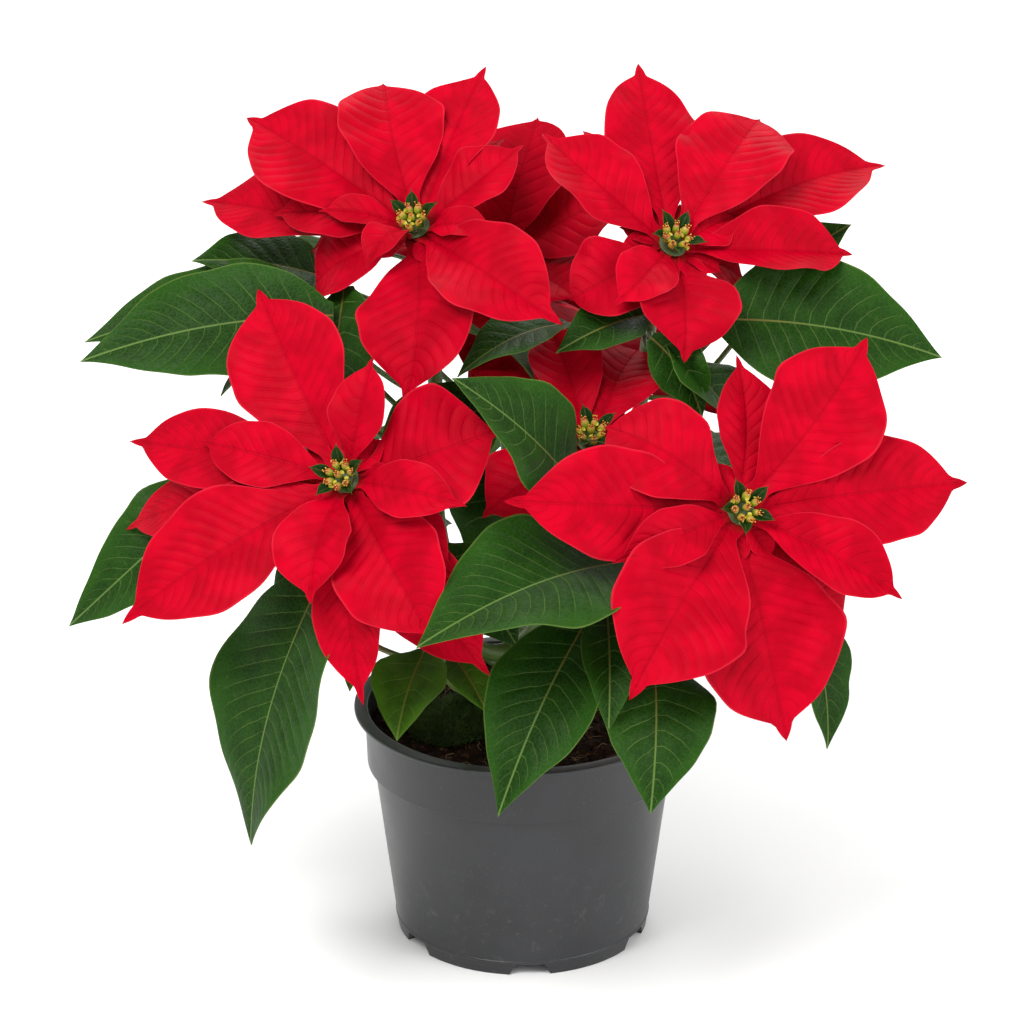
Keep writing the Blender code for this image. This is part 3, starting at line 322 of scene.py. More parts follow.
def at_bearing(bearing, radius, height):
    """A point at this bearing, which is 0 at the front and grows towards +X, in millimetres."""
    return Vector((math.sin(bearing) * radius, -math.cos(bearing) * radius, height))


def soil_relief(x, y):
    """Height of the loose soil's surface over its mean level, in millimetres."""
    crumbs = math.sin(0.31 * x + 1.3) * math.cos(0.27 * y) + 0.6 * math.sin(0.53 * x - 0.47 * y)
    return SOIL_RELIEF * crumbs * 0.6 + 0.035 * x


def belly(shape, share):
    """Width of a blade's middle at this share of its length, as a share of its widest."""
    rise, fall, stalk, tip = shape
    widest = rise / (rise + fall)
    body = np.clip((share - stalk) / (1 - stalk - tip), 0.0, 1.0)
    return (body / widest) ** rise * ((1 - body) / (1 - widest)) ** fall


def outline(shape, share):
    """Half width of a plain blade, which starts as a stalk and ends in a drawn-out tip."""
    return max(float(belly(shape, share)), ROOT_SHARE * (1 - share), TIP_TAPER * (1 - share) * share ** 6)


def upright(blade):
    """The blade's direction, and the part of its up vector that is square to it."""
    along = (blade.tip - blade.root).normalized()
    return along, (blade.up - along * blade.up.dot(along)).normalized()


def spine(blade, share):
    """Point on the midrib, with the blade's side and its upward normal there."""
    chord = blade.tip - blade.root
    along, up = upright(blade)
    shift = up * blade.arch + along.cross(up) * blade.bow
    middle = blade.root + chord * 0.5 + shift * (2 * chord.length)
    point = (1 - share) ** 2 * blade.root + 2 * share * (1 - share) * middle + share ** 2 * blade.tip
    run = ((1 - share) * (middle - blade.root) + share * (blade.tip - middle)).normalized()
    turn = Matrix.Rotation(math.radians(blade.roll), 3, run)
    side = turn @ run.cross(up).normalized()
    return point, side, side.cross(run)


def blade_point(blade, share, across):
    """Point of the blade's middle surface: folded at the midrib, with waved edges."""
    point, side, normal = spine(blade, share)
    half = max(blade.width / 2 * outline(blade.outline, share), TIP_WIDTH / 2)
    fold = math.radians(blade.fold)
    phase = 0.11 * blade.tip.x + 0.07 * blade.tip.z + 1.9 * across
    wave = WAVE_SHARE * half * math.sin(math.tau * WAVES * share + phase) * across ** 2
    lift = half * abs(across) * math.sin(fold) + wave
    return point + side * (half * across * math.cos(fold)) + normal * lift


def grid_faces(rows, columns):
    """Triangles of a grid of points, split alike on every sheet."""
    faces = []
    for i in range(rows - 1):
        for j in range(columns - 1):
            a = i * columns + j
            b = a + columns
            faces += [(a, b, b + 1), (a, b + 1, a + 1)]
    return faces


def sheet_tree(blade):
    """Search tree of the blade's middle surface."""
    points = [blade_point(blade, share, across) for share in blade.stations for across in ACROSS]
    return BVHTree.FromPolygons(points, grid_faces(len(blade.stations), len(ACROSS)))


def slab_tree(blade, first):
    """Search tree of a slab round the blade, thick enough to keep its neighbours clear."""
    shares = [share for share in blade.stations if share >= first]
    points = []
    for height in (CLEARANCE, -CLEARANCE):
        for share in shares:
            normal = spine(blade, share)[2]
            points += [blade_point(blade, share, across) + normal * height for across in ACROSS]
    count = len(points) // 2
    sheet = grid_faces(len(shares), len(ACROSS))
    faces = sheet + [tuple(i + count for i in face) for face in sheet]
    last = len(ACROSS) - 1
    for i in range(len(shares) - 1):
        for edge in (0, last):
            a = i * len(ACROSS) + edge
            b = a + len(ACROSS)
            faces += [(a, b, b + count), (a, b + count, a + count)]
    return BVHTree.FromPolygons(points, faces)


def bent(blade, distance):
    """The blade bent at its root: in the front half its tip comes nearer or goes back, else it rises."""
    along, up = upright(blade)
    level = blade.tip.y < BACK_HALF and abs(along.dot(TOWARDS_VIEWER)) < END_ON
    return blade._replace(tip=blade.tip + (TOWARDS_VIEWER if level else up) * distance)


def bends(count):
    """Distances to try: none, then ever larger ones both ways."""
    yield 0.0
    for i in range(1, count + 1):
        yield i * BEND_STEP
        yield -i * BEND_STEP


def crossings(blade, placed):
    """How many other blades and stems this one would cross, and how many of its own node."""
    tree = sheet_tree(blade)
    others = 0
    siblings = 0
    for thing in placed:
        if thing.node == blade.node:
            siblings += bool(tree.overlap(thing.outer))
        else:
            others += bool(tree.overlap(thing.whole))
    return others, siblings


def bend_clear(blade, placed):
    """Bends the blade by the smallest step that clears other nodes, and its own node if a small one can."""
    tried = {distance: crossings(bent(blade, distance), placed) for distance in bends(NEAR_BENDS)}
    best = min(tried, key=lambda distance: (tried[distance], abs(distance)))
    if tried[best][0]:
        tried = {distance: crossings(bent(blade, distance), placed) for distance in bends(FAR_BENDS)}
        best = min(tried, key=lambda distance: (tried[distance][0], abs(distance)))
    blade = bent(blade, best)
    placed.append(Placed(blade.node, slab_tree(blade, 0.0), slab_tree(blade, NEAR_HUB)))
    return blade


def facing(bloom):
    """The way that the bloom faces."""
    azimuth = math.radians(bloom.azimuth)
    elevation = math.radians(bloom.elevation)
    level = math.cos(elevation)
    return Vector((math.sin(azimuth) * level, -math.cos(azimuth) * level, math.sin(elevation)))


def bezier(points, share):
    a, b, c, d = points
    rest = 1 - share
    return rest ** 3 * a + 3 * rest ** 2 * share * b + 3 * rest * share ** 2 * c + share ** 3 * d


def stem_route(name):
    """Four control points: out from the main stem's side, then up to the bloom or the shoot's end."""
    stem = STEMS[name]
    outward = at_bearing(math.radians(stem.bearing), 1.0, 0.0)
    start = outward * (TRUNK_RADIUS + 1.2 * GAP) + Vector((0, 0, stem.height))
    if stem.end is None:
        bloom = next(bloom for bloom in BLOOMS if bloom.name == name)
        up = facing(bloom)
        end = Vector(bloom.centre) - up * (HUB_HEIGHT + GAP)
    else:
        up = Vector((0, 0, 1))
        end = Vector(stem.end)
    reach = (end - start).length
    away = outward + Vector((0, 0, 0.07))
    return start, start + away * 0.3 * reach, end - up * 0.4 * reach, end


def tube_tree(path, radius):
    """Search tree of a tube with a few sides along a path."""
    points = []
    for i, point in enumerate(path):
        run = (path[min(i + 1, len(path) - 1)] - path[max(i - 1, 0)]).normalized()
        side = run.orthogonal().normalized()
        for k in range(TUBE_SIDES):
            points.append(point + Matrix.Rotation(k * math.tau / TUBE_SIDES, 3, run) @ side * radius)
    faces = []
    for i in range(len(path) - 1):
        for k in range(TUBE_SIDES):
            a = i * TUBE_SIDES + k
            b = i * TUBE_SIDES + (k + 1) % TUBE_SIDES
            faces.append((a, b, b + TUBE_SIDES, a + TUBE_SIDES))
    return BVHTree.FromPolygons(points, faces)


def petiole_path(stem, share, blade):
    """From inside the stem to just inside the blade, sagging a little."""
    start = bezier(stem_route(stem), share)
    end = spine(blade, PETIOLE_END)[0]
    low = (start + end) / 2 - Vector((0, 0, PETIOLE_SAG * (end - start).length))
    return [(1 - t) ** 2 * start + 2 * t * (1 - t) * low + t ** 2 * end for t in (0.0, 0.5, 1.0)]


def place_leaf(row, placed):
    """The leaf's blade bent clear, and its petiole from the nearest height of stem that is clear too."""
    node = "leafy_stem_" + row.stem
    root, tip = Vector(row.root), Vector(row.tip)
    up = Vector((0, 0, 1)) + Vector((tip.x, tip.y, 0)).normalized() * LEAF_LEAN
    stations = SHORT_STATIONS if (tip - root).length < SHORT_BLADE else STATIONS
    blade = bend_clear(Blade(root, tip, up, row.width, row.arch, row.bow, row.fold, row.roll, LEAF_OUTLINE,
                             node, stations), placed)
    for shift in PETIOLE_SHIFTS:
        share = min(max(row.share + shift, LOWEST_PETIOLE), HIGHEST_PETIOLE)
        path = petiole_path(row.stem, share, blade)
        tree = tube_tree(path, PETIOLE_RADIUS)
        if not any(thing.node != node and tree.overlap(thing.whole) for thing in placed):
            break
    keep_clear(node, path, PETIOLE_RADIUS + CLEARANCE, placed)
    return blade, path


def bloom_frame(bloom):
    """Turns the bloom's own Z axis into the way that it faces."""
    return facing(bloom).to_track_quat("Z", "Y").to_matrix()


def level_way(turn, bearing):
    """The way at this bearing round the Z axis of a turned frame."""
    return turn @ Vector((math.cos(bearing), math.sin(bearing), 0))


def ring_bracts(bloom):
    """A whole ring of bracts that the viewer doesn't see, with longer ones below shorter ones."""
    ring, turn, flat = bloom.ring, bloom_frame(bloom), Matrix.Identity(3)
    for i in range(ring.count):
        stretch = 1.0 + 0.12 * math.sin(2.4 * i)
        clock = math.radians(ring.first + ring.sweep * i / (ring.count - 1))
        reach = level_way(flat, clock) * ring.length * stretch
        tip = turn @ (reach + Vector((0, 0, ring.lift - OUTER_DROP)))
        yield Bract(*tip, ring.width * stretch, 0.10, 12, bow=0.04 * math.sin(1.7 * i + 0.5))
    for i in range(ring.count - 1):
        clock = math.radians(ring.first + ring.sweep * (i + 0.5) / (ring.count - 1))
        reach = level_way(flat, clock) * INNER_LENGTH * ring.length
        tip = turn @ (reach + Vector((0, 0, ring.lift + INNER_RISE)))
        yield Bract(*tip, INNER_WIDTH * ring.width, 0.10, 14)


def place_bracts(bloom, placed):
    """Blades of one bloom, each rooted in the hub with the steep ones highest, and bent clear."""
    up, centre = facing(bloom), Vector(bloom.centre)
    blades = []
    for row in (*bloom.bracts, *(ring_bracts(bloom) if bloom.ring else ())):
        reach = Vector((row.x, row.y, row.z))
        outward = (reach - up * reach.dot(up)).normalized()
        rise = min(max(reach.dot(up) / STEEP_RISE, -1.0), 1.0)
        depth = HUB_HEIGHT * (0.5 - ROOT_SPREAD * rise)
        root = centre - up * depth + outward * (BRACT_ROOT + max(rise, 0.0))
        stations = SHORT_STATIONS if reach.length < SHORT_BLADE else STATIONS
        blade = Blade(root, centre + reach, up, row.width, row.arch, row.bow, row.fold, row.roll, row.outline,
                      "bracts_" + bloom.name, stations)
        blades.append(bend_clear(blade, placed))
    return blades


def place_bractlets(bloom, placed):
    """Each green bractlet that has room, at the smallest turn and lean that clear the bracts."""
    turn, up = bloom_frame(bloom), facing(bloom)
    middle = Vector(bloom.centre) + up * (GAP + CYATHIA_DISC_HEIGHT / 2)
    node = "cyathia_" + bloom.name
    blades = []
    for i in range(BRACTLETS):
        for turned, lean in BRACTLET_TRIES:
            out = level_way(turn, i * math.tau / BRACTLETS + 0.6 + math.radians(turned))
            root = middle + out * BRACTLET_ROOT
            way = out * math.sin(math.radians(lean)) + up * math.cos(math.radians(lean))
            tree = tube_tree([root, root + way * BRACTLET_LENGTH], BRACTLET_ROOM)
            if not any(thing.node != node and tree.overlap(thing.whole) for thing in placed):
                tip = root + way * (BRACTLET_LENGTH - BRACTLET_TRIM)
                normal = way.cross(up.cross(out))
                blades.append(Blade(root - way * BRACTLET_SINK, tip, normal, BRACTLET_WIDTH, 0.10, 0, 26, 0,
                                    BRACT_OUTLINE))
                break
    return blades


def keep_clear(node, path, radius, placed):
    """Keeps a tube along the path free of what is placed later."""
    tree = tube_tree(path, radius)
    placed.append(Placed(node, tree, tree))


def place_everything():
    """Stems first, then the blooms from the front to the back, then the leaves."""
    placed = []
    for name in STEMS:
        route = stem_route(name)
        path = [bezier(route, share) for share in STEM_SHARES]
        keep_clear("leafy_stem_" + name, path, STEM_RADIUS + CLEARANCE, placed)
    for bloom in BLOOMS:
        core = [Vector(bloom.centre), Vector(bloom.centre) + facing(bloom) * CYATHIA_HEIGHT]
        keep_clear("cyathia_" + bloom.name, core, CYATHIA_ROOM, placed)
    bracts = {bloom.name: place_bracts(bloom, placed) for bloom in BLOOMS}
    leaves = {name: [] for name in STEMS}
    for row in LEAVES:
        leaves[row.stem].append(place_leaf(row, placed))
    bractlets = {bloom.name: place_bractlets(bloom, placed) for bloom in BLOOMS}
    return bracts, bractlets, leaves


# Fine shapes. Each is a closed skin: points in millimetres, faces, and two vectors at each point.
# "vein" is (number of the lateral vein, distance from the midrib or share of the height, 1 on top).
# "flat" is (millimetres along, millimetres across, a random number of the skin).
# A piece with more than one material has the number of the skin's own in "finish".

Skin = namedtuple("Skin", "points faces vein flat finish", defaults=(0,))
Look = namedtuple("Look", "thickness spacing puff ripple rib stalk")

BRACT_LOOK = Look(0.40, 4.9, 0.42, 0.050, 0.45, 1.3)
LEAF_LOOK = Look(0.45, 5.8, 0.42, 0.025, 0.60, 1.0)
BRACTLET_LOOK = Look(0.40, 2.6, 0.12, 0.020, 0.25, 0.5)
VEIN_PHASES = np.array((0.0, 0.16, 0.50, 0.84))
FEWEST_VEINS, MOST_VEINS = 5, 19
VEIN_SWEEP = 0.80
VEIN_CURVE = 1.25
VEIN_STAGGER = 0.22
VEIN_SHARPNESS = 0.006
VEIN_RIDGE = 0.14
HALF_COLUMNS = np.array((0.05, 0.16, 0.30, 0.45, 0.60, 0.74, 0.87, 1.0))
COLUMNS = np.concatenate((-HALF_COLUMNS[::-1], [0.0], HALF_COLUMNS))
LOBE_HEIGHT = 0.022
LOBE_WAVES = (2.3, 5.1)
RIPPLE_WAVES = 2.8
CREASE_ROUNDING = 0.0025
MIDRIB_GROOVE = 0.22
MIDRIB_WIDTH = 1.1
RIB_WIDTH = 0.9
PUFFED_HALF = 20
EDGE_THINNING = 0.45
STALK_SHARE = 0.06
FINE_TIP = 0.3
FINE_TIP_TAPER = 2.3
FINE_ROOT_SHARE = 0.22


def ramp(low, high, values):
    share = np.clip((values - low) / (high - low), 0.0, 1.0)
    return share * share * (3 - 2 * share)


def unit(vectors):
    return vectors / np.linalg.norm(vectors, axis=-1, keepdims=True)


def fine_outline(shape, share):
    """Half width of a fine blade, which runs smoothly into its root and its tip."""
    drawn = FINE_TIP_TAPER * (1 - share) * share ** 6
    root = FINE_ROOT_SHARE * (1 - share) ** 3
    return np.sqrt(belly(shape, share) ** 2 + root ** 2 + drawn ** 2)


def grid_skin_faces(rows, columns):
    """Quads of a closed slab: the top sheet, the bottom sheet and the rim."""
    index = np.arange(rows * columns).reshape(rows, columns)
    a, b, c, d = index[:-1, :-1], index[:-1, 1:], index[1:, 1:], index[1:, :-1]
    top = np.stack((a, b, c, d), -1).reshape(-1, 4)
    low = top[:, ::-1] + rows * columns
    ring = np.concatenate((index[0, :-1], index[:-1, -1], index[-1, :0:-1], index[:0:-1, 0]))
    after = np.roll(ring, -1)
    rim = np.stack((after, ring, ring + rows * columns, after + rows * columns), -1)
    return np.concatenate((top, low, rim)).tolist()


def midrib_frame(blade, chord, length, share):
    """Points on the midrib at these shares of its length, with the side and the normal of the blade."""
    along = chord / length
    up = np.array(blade.up)
    up = up - along * up.dot(along)
    up /= np.linalg.norm(up)
    root, tip = np.array(blade.root), np.array(blade.tip)
    middle = root + chord / 2 + (up * blade.arch + np.cross(along, up) * blade.bow) * 2 * length
    t = share[..., None]
    centre = (1 - t) ** 2 * root + 2 * t * (1 - t) * middle + t ** 2 * tip
    run = unit((1 - t) * (middle - root) + t * (tip - middle))
    level = unit(np.cross(run, up))
    roll = math.radians(blade.roll)
    side = math.cos(roll) * level + math.sin(roll) * np.cross(run, level)
    return centre, side, np.cross(side, run)


def blade_skin(blade, look, rng):
    """A leaf or bract: puffed between its lateral veins, grooved at the midrib, with ribs below."""
    chord = np.array(blade.tip - blade.root)
    length = float(np.linalg.norm(chord))
    veins = int(np.clip(round(length / look.spacing), FEWEST_VEINS, MOST_VEINS))
    number = np.append((np.arange(veins)[:, None] + VEIN_PHASES).ravel(), veins)[:, None]
    row = number / veins
    a = COLUMNS[None, :]
    wide = np.abs(a)
    ends = 4 * row * (1 - row)
    stagger = VEIN_STAGGER / veins * np.sign(a) * ramp(0.0, 0.16, wide) * ends
    u = np.clip(row + stagger + VEIN_SWEEP * row * (1 - row) * wide ** VEIN_CURVE, 0.0, 1.0)
    centre, side, normal = midrib_frame(blade, chord, length, u)

    half = np.maximum(blade.width / 2 * fine_outline(blade.outline, u), FINE_TIP / 2)
    lobes = np.sin(math.tau * LOBE_WAVES[0] * u + 6 * rng.random() + a)
    lobes = lobes + 0.6 * np.sin(math.tau * LOBE_WAVES[1] * u + 6 * rng.random() - 2 * a)
    half = half * (1 + LOBE_HEIGHT * lobes * ends)
    fold = math.radians(blade.fold)
    phase = 0.11 * blade.tip.x + 0.07 * blade.tip.z + 1.9 * a
    wave = WAVE_SHARE * half * np.sin(math.tau * WAVES * u + phase) * a ** 2
    ripple = np.sin(math.tau * (RIPPLE_WAVES + rng.random()) * u + 6 * rng.random() + a)
    wave = wave + look.ripple * half * ripple * wide ** 2
    body = ramp(0.03, 0.14, u) * (1 - ramp(0.80, 0.99, u))
    puff = look.puff * half / PUFFED_HALF * np.sin(math.pi * (number % 1)) ** 0.8
    puff = puff * ramp(0.0, 0.35, wide) * (1 - wide ** 5) * body
    crease = (np.sqrt(a ** 2 + CREASE_ROUNDING) - math.sqrt(CREASE_ROUNDING)) * math.sin(fold) * half
    groove = MIDRIB_GROOVE * np.exp(-(a * half / MIDRIB_WIDTH) ** 2) * body
    mid = centre + side * (half * a * math.cos(fold))[..., None] + normal * (crease + wave + puff)[..., None]

    thickness = look.thickness * (1 - EDGE_THINNING * wide ** 4)
    thickness = thickness + look.stalk * np.exp(-(u / STALK_SHARE) ** 2) * (1 - 0.7 * a ** 2)
    vein = np.exp(-((number + 0.5) % 1 - 0.5) ** 2 / VEIN_SHARPNESS)
    rib = look.rib * (1 - 0.75 * u) * np.exp(-(a * half / RIB_WIDTH) ** 2)
    rib = rib + VEIN_RIDGE * vein * (1 - wide) * body
    high = mid + normal * (thickness / 2 - groove)[..., None]
    low = mid - normal * (thickness / 2 + rib)[..., None]
    flat = np.stack(np.broadcast_arrays(u * length, a * half, rng.random()), -1).reshape(-1, 3)
    marks = [np.stack(np.broadcast_arrays(number, wide, top), -1).reshape(-1, 3) for top in (1.0, 0.0)]
    points = np.concatenate((high.reshape(-1, 3), low.reshape(-1, 3)))
    faces = grid_skin_faces(*u.shape)
    return Skin(points, faces, np.concatenate(marks), np.concatenate((flat, flat)))


def ring_faces(rings, sides):
    """Quads between rings of points, and a fan at either end round the two points that follow them."""
    faces = []
    for i in range(rings - 1):
        for k in range(sides):
            near, far = i * sides + k, i * sides + (k + 1) % sides
            faces.append((near, far, far + sides, near + sides))
    first, last, end = rings * sides, rings * sides + 1, (rings - 1) * sides
    for k in range(sides):
        faces.append((first, (k + 1) % sides, k))
        faces.append((last, end + k, end + (k + 1) % sides))
    return faces


def share_marks(shares):
    """The "vein" vectors of a skin that has no veins."""
    return np.stack((np.zeros(len(shares)), shares, np.ones(len(shares))), -1)


def set_down(local, faces, shares, place, turn, seed, finish):
    """A skin that is turned and moved to its place, and marked with its own coordinates."""
    points = local @ np.array(turn).T + np.array(place)
    flat = np.concatenate((local[:, :2], np.full((len(points), 1), seed)), 1)
    return Skin(points, faces, share_marks(shares), flat, finish)


def tube_skin(path, radii, sides, seed, finish=0):
    """A round tube along a path with a point at each end."""
    path = np.array([tuple(point) for point in path])
    count = len(path)
    radii = np.broadcast_to(radii, (count,) if np.ndim(radii) < 2 else (count, sides))
    runs = unit(np.gradient(path, axis=0))
    side = np.array(Vector(runs[0]).orthogonal().normalized())
    rings, marks = [], []
    clock = np.arange(sides) / sides * math.tau
    travelled = np.concatenate(([0], np.cumsum(np.linalg.norm(np.diff(path, axis=0), axis=1))))
    for i in range(count):
        side = side - runs[i] * side.dot(runs[i])
        side /= np.linalg.norm(side)
        other = np.cross(runs[i], side)
        spoke = np.cos(clock)[:, None] * side + np.sin(clock)[:, None] * other
        radius = np.broadcast_to(radii[i], (sides,))
        rings.append(path[i] + spoke * radius[:, None])
        marks.append(np.stack((np.full(sides, travelled[i]), clock * radius, np.full(sides, seed)), -1))
    points = np.concatenate(rings + [path[:1], path[-1:]])
    flat = np.concatenate(marks + [[(0.0, 0.0, seed)], [(travelled[-1], 0.0, seed)]])
    shares = np.append(np.repeat(travelled / travelled[-1], sides), (0.0, 1.0))
    return Skin(points, ring_faces(count, sides), share_marks(shares), flat, finish)


def lathe_skin(profile, sides, place, turn, seed, finish=0, lobes=0, lobe_depth=0.0):
    """A closed turned shape: its profile of (radius, height) starts and ends on its own axis."""
    clock = np.arange(sides) / sides * math.tau
    heights = [height for _, height in profile]
    low, top = min(heights), max(heights)
    shares = [(height - low) / (top - low) for height in heights]
    rings = []
    for (radius, height), share in zip(profile[1:-1], shares[1:-1]):
        lobed = radius * (1 + lobe_depth * share ** 2 * np.cos(lobes * clock))
        rings.append(np.stack((np.cos(clock) * lobed, np.sin(clock) * lobed, np.full(sides, height)), -1))
    local = np.concatenate(rings + [np.array([(0, 0, heights[0]), (0, 0, heights[-1])])])
    shares = np.append(np.repeat(shares[1:-1], sides), (shares[0], shares[-1]))
    return set_down(local, ring_faces(len(rings), sides), shares, place, turn, seed, finish)


def ball(detail):
    shape = bmesh.new()
    bmesh.ops.create_icosphere(shape, subdivisions=detail, radius=1.0)
    points = np.array([tuple(vertex.co) for vertex in shape.verts])
    faces = [tuple(vertex.index for vertex in face.verts) for face in shape.faces]
    shape.free()
    return points, faces


BALLS = {detail: ball(detail) for detail in (1, 2)}


def ball_skin(place, size, turn, detail, seed, rough=0.0, rng=None, finish=0):
    sphere, faces = BALLS[detail]
    radial = 1.0 if rng is None else 1 + rough * (rng.random((len(sphere), 1)) - 0.5)
    shares = sphere[:, 2] / 2 + 0.5
    return set_down(sphere * radial * np.array(size), faces, shares, place, turn, seed, finish)


def random_turn(rng):
    first, second, third = (Matrix.Rotation(rng.random() * math.tau, 3, axis) for axis in "ZXY")
    return first @ second @ third


def piece(name, skins, finishes, slot, *nodes, sharp=50):
    """One object from many closed skins, in the frame's metres."""
    starts = np.cumsum([0] + [len(skin.points) for skin in skins])
    points = np.concatenate([skin.points for skin in skins]) * MM + AXIS
    faces = [tuple(i + start for i in face) for skin, start in zip(skins, starts) for face in skin.faces]
    mesh = bpy.data.meshes.new(name)
    mesh.from_pydata(points.tolist(), [], faces)
    for key in ("vein", "flat"):
        values = np.concatenate([getattr(skin, key) for skin in skins]).astype(np.float32)
        mesh.attributes.new(key, "FLOAT_VECTOR", "POINT").data.foreach_set("vector", values.ravel())
    for finish in finishes:
        mesh.materials.append(finish)
    if len(finishes) > 1:
        mesh.polygons.foreach_set("material_index", [skin.finish for skin in skins for _ in skin.faces])
    mesh.shade_smooth()
    mesh.set_sharp_from_angle(angle=math.radians(sharp))
    obj = add_object(name, mesh)
    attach(obj, "root")
    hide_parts(*nodes)
    return obj


# Stems

STEM_POINTS = 34
STEM_SIDES = 14
NEAREST_STEPS = 60
PETIOLE_POINTS = 14
PETIOLE_SIDES = 10
COLLAR_SWELL = 1.5
COLLAR_REACH = 7.0
NODE_SWELL = 0.35
NODE_REACH = 2.2
YOUNG_STEMS = ("low_shoot",)


def stem_skin(name, starts, seed):
    """A green stem that swells where it leaves the main stem and a little where each petiole grows."""
    route = stem_route(name)
    shares = np.linspace(0.0, 1.0, STEM_POINTS)
    path = [bezier(route, float(share)) for share in shares]
    reach = (path[-1] - path[0]).length
    radii = STEM_RADIUS + (STEM_TIP_RADIUS - STEM_RADIUS) * shares
    radii = radii + COLLAR_SWELL * np.exp(-shares * reach / COLLAR_REACH)
    for start in starts:
        radii = radii + NODE_SWELL * np.exp(-((shares - start) * reach / NODE_REACH) ** 2)
    return tube_skin(path, radii, STEM_SIDES, seed)


def petiole_skin(path, seed):
    """A leaf's stalk along the same curve as its solid, swollen at both ends."""
    start, middle, end = path
    pull = 2 * middle - (start + end) / 2
    shares = np.linspace(0.0, 1.0, PETIOLE_POINTS)
    points = [(1 - t) ** 2 * start + 2 * t * (1 - t) * pull + t ** 2 * end for t in shares.tolist()]
    length = (end - start).length
    radii = PETIOLE_RADIUS + 0.5 * np.exp(-shares * length / 2.5) + 0.15 * np.exp(-(1 - shares) * length / 3)
    return tube_skin(points, radii, PETIOLE_SIDES, seed)


def nearest_share(route, point):
    shares = (i / NEAREST_STEPS for i in range(NEAREST_STEPS + 1))
    return min(shares, key=lambda share: (bezier(route, share) - point).length)


def dress_leafy_stem(name, leaves, rng):
    route = stem_route(name)
    blades, paths = zip(*leaves)
    stalks = [stem_skin(name, [nearest_share(route, path[0]) for path in paths], rng.random())]
    stalks += [petiole_skin(path, rng.random()) for path in paths]
    piece("stalks_" + name, stalks, [STALK], "leaf", "leafy_stem_" + name)
    skins = [blade_skin(blade, LEAF_LOOK, rng) for blade in blades]
    finish = YOUNG_LEAF if name in YOUNG_STEMS else LEAF
    piece("leaves_" + name, skins, [finish], "leaf", "leafy_stem_" + name)


# Main stem

TRUNK_POINTS = 44
TRUNK_SIDES = 28
TRUNK_SINK = 0.25
SCARS = 9
LOWEST_SCAR = 90
SCAR_STEP = 4.0
SCAR_WIDTH = 2.2
SCAR_HEIGHT = 1.3


def dress_trunk(rng):
    """The woody main stem, with shallow bark ridges, leaf scars and a rounded cut top."""
    heights = np.linspace(TRUNK_FOOT, TRUNK_TOP, TRUNK_POINTS)
    clock = np.arange(TRUNK_SIDES) / TRUNK_SIDES * math.tau
    scars = [(rng.random() * math.tau, LOWEST_SCAR + SCAR_STEP * i + 2 * rng.random()) for i in range(SCARS)]
    radii = []
    for height in heights:
        ridges = 0.10 * np.sin(7 * clock + 0.06 * height) + 0.08 * np.sin(13 * clock - 0.11 * height)
        ridges = ridges + 0.18 * math.sin(0.35 * height)
        for bearing, level in scars:
            turn = (clock - bearing + math.pi) % math.tau - math.pi
            spot = (turn * TRUNK_RADIUS / SCAR_WIDTH) ** 2 + ((height - level) / SCAR_HEIGHT) ** 2
            ridges = ridges + 0.35 * np.exp(-(spot - 0.7) ** 2 * 4) - 0.25 * np.exp(-spot * 3)
        cut = 1 - 0.22 * math.exp(-((TRUNK_TOP - height) / 1.2) ** 2)
        radii.append((TRUNK_RADIUS - TRUNK_SINK + ridges) * cut)
    path = [(0, 0, height) for height in heights]
    skin = tube_skin(path, np.array(radii), TRUNK_SIDES, 0.4)
    piece("woody_stem", [skin], [BARK], "woody_stem", "main_stem")


# Blooms

HUB_PROFILE = ((0, -6.0), (2.6, -6.0), (3.1, -5.0), (4.2, -3.0), (5.2, -1.0), (5.4, -0.4), (4.8, -0.05),
               (0, 0.1))
DISC_PROFILE = ((0, 0.0), (3.4, 0.05), (3.9, 0.5), (3.6, 1.1), (2.4, 1.6), (0, 1.8))
CUP_PROFILE = ((0, -0.9), (0.5, -0.8), (0.62, 0.0), (1.05, 0.9), (1.38, 2.0), (1.42, 2.9), (1.2, 3.7),
               (0.86, 4.2), (0.70, 4.4), (0.52, 4.2), (0.42, 3.8), (0, 3.7))
GLAND_PROFILE = ((0, -0.5), (0.32, -0.4), (0.55, 0.1), (0.86, 0.5), (0.80, 0.72), (0.45, 0.5), (0, 0.35))
GLAND_CHANCE = 0.7
GLAND_BEARING = 0.3
CUP_LOBES = 5
STAMENS = 5
ANTHER_SIZE = (0.34, 0.26, 0.26)
FINE_BUDS = 8
FINE_BUD_RING = 3.3
FINE_BUD_LEAN = 0.42
INNER_BRACT_LENGTH = 21.0
INNER_BRACT_WIDTH = 11.0
INNER_BRACT_ROOM = math.radians(42)
NARROWEST_GAP = math.radians(30)


def turn_to(way):
    return way.to_track_quat("Z", "Y").to_matrix()


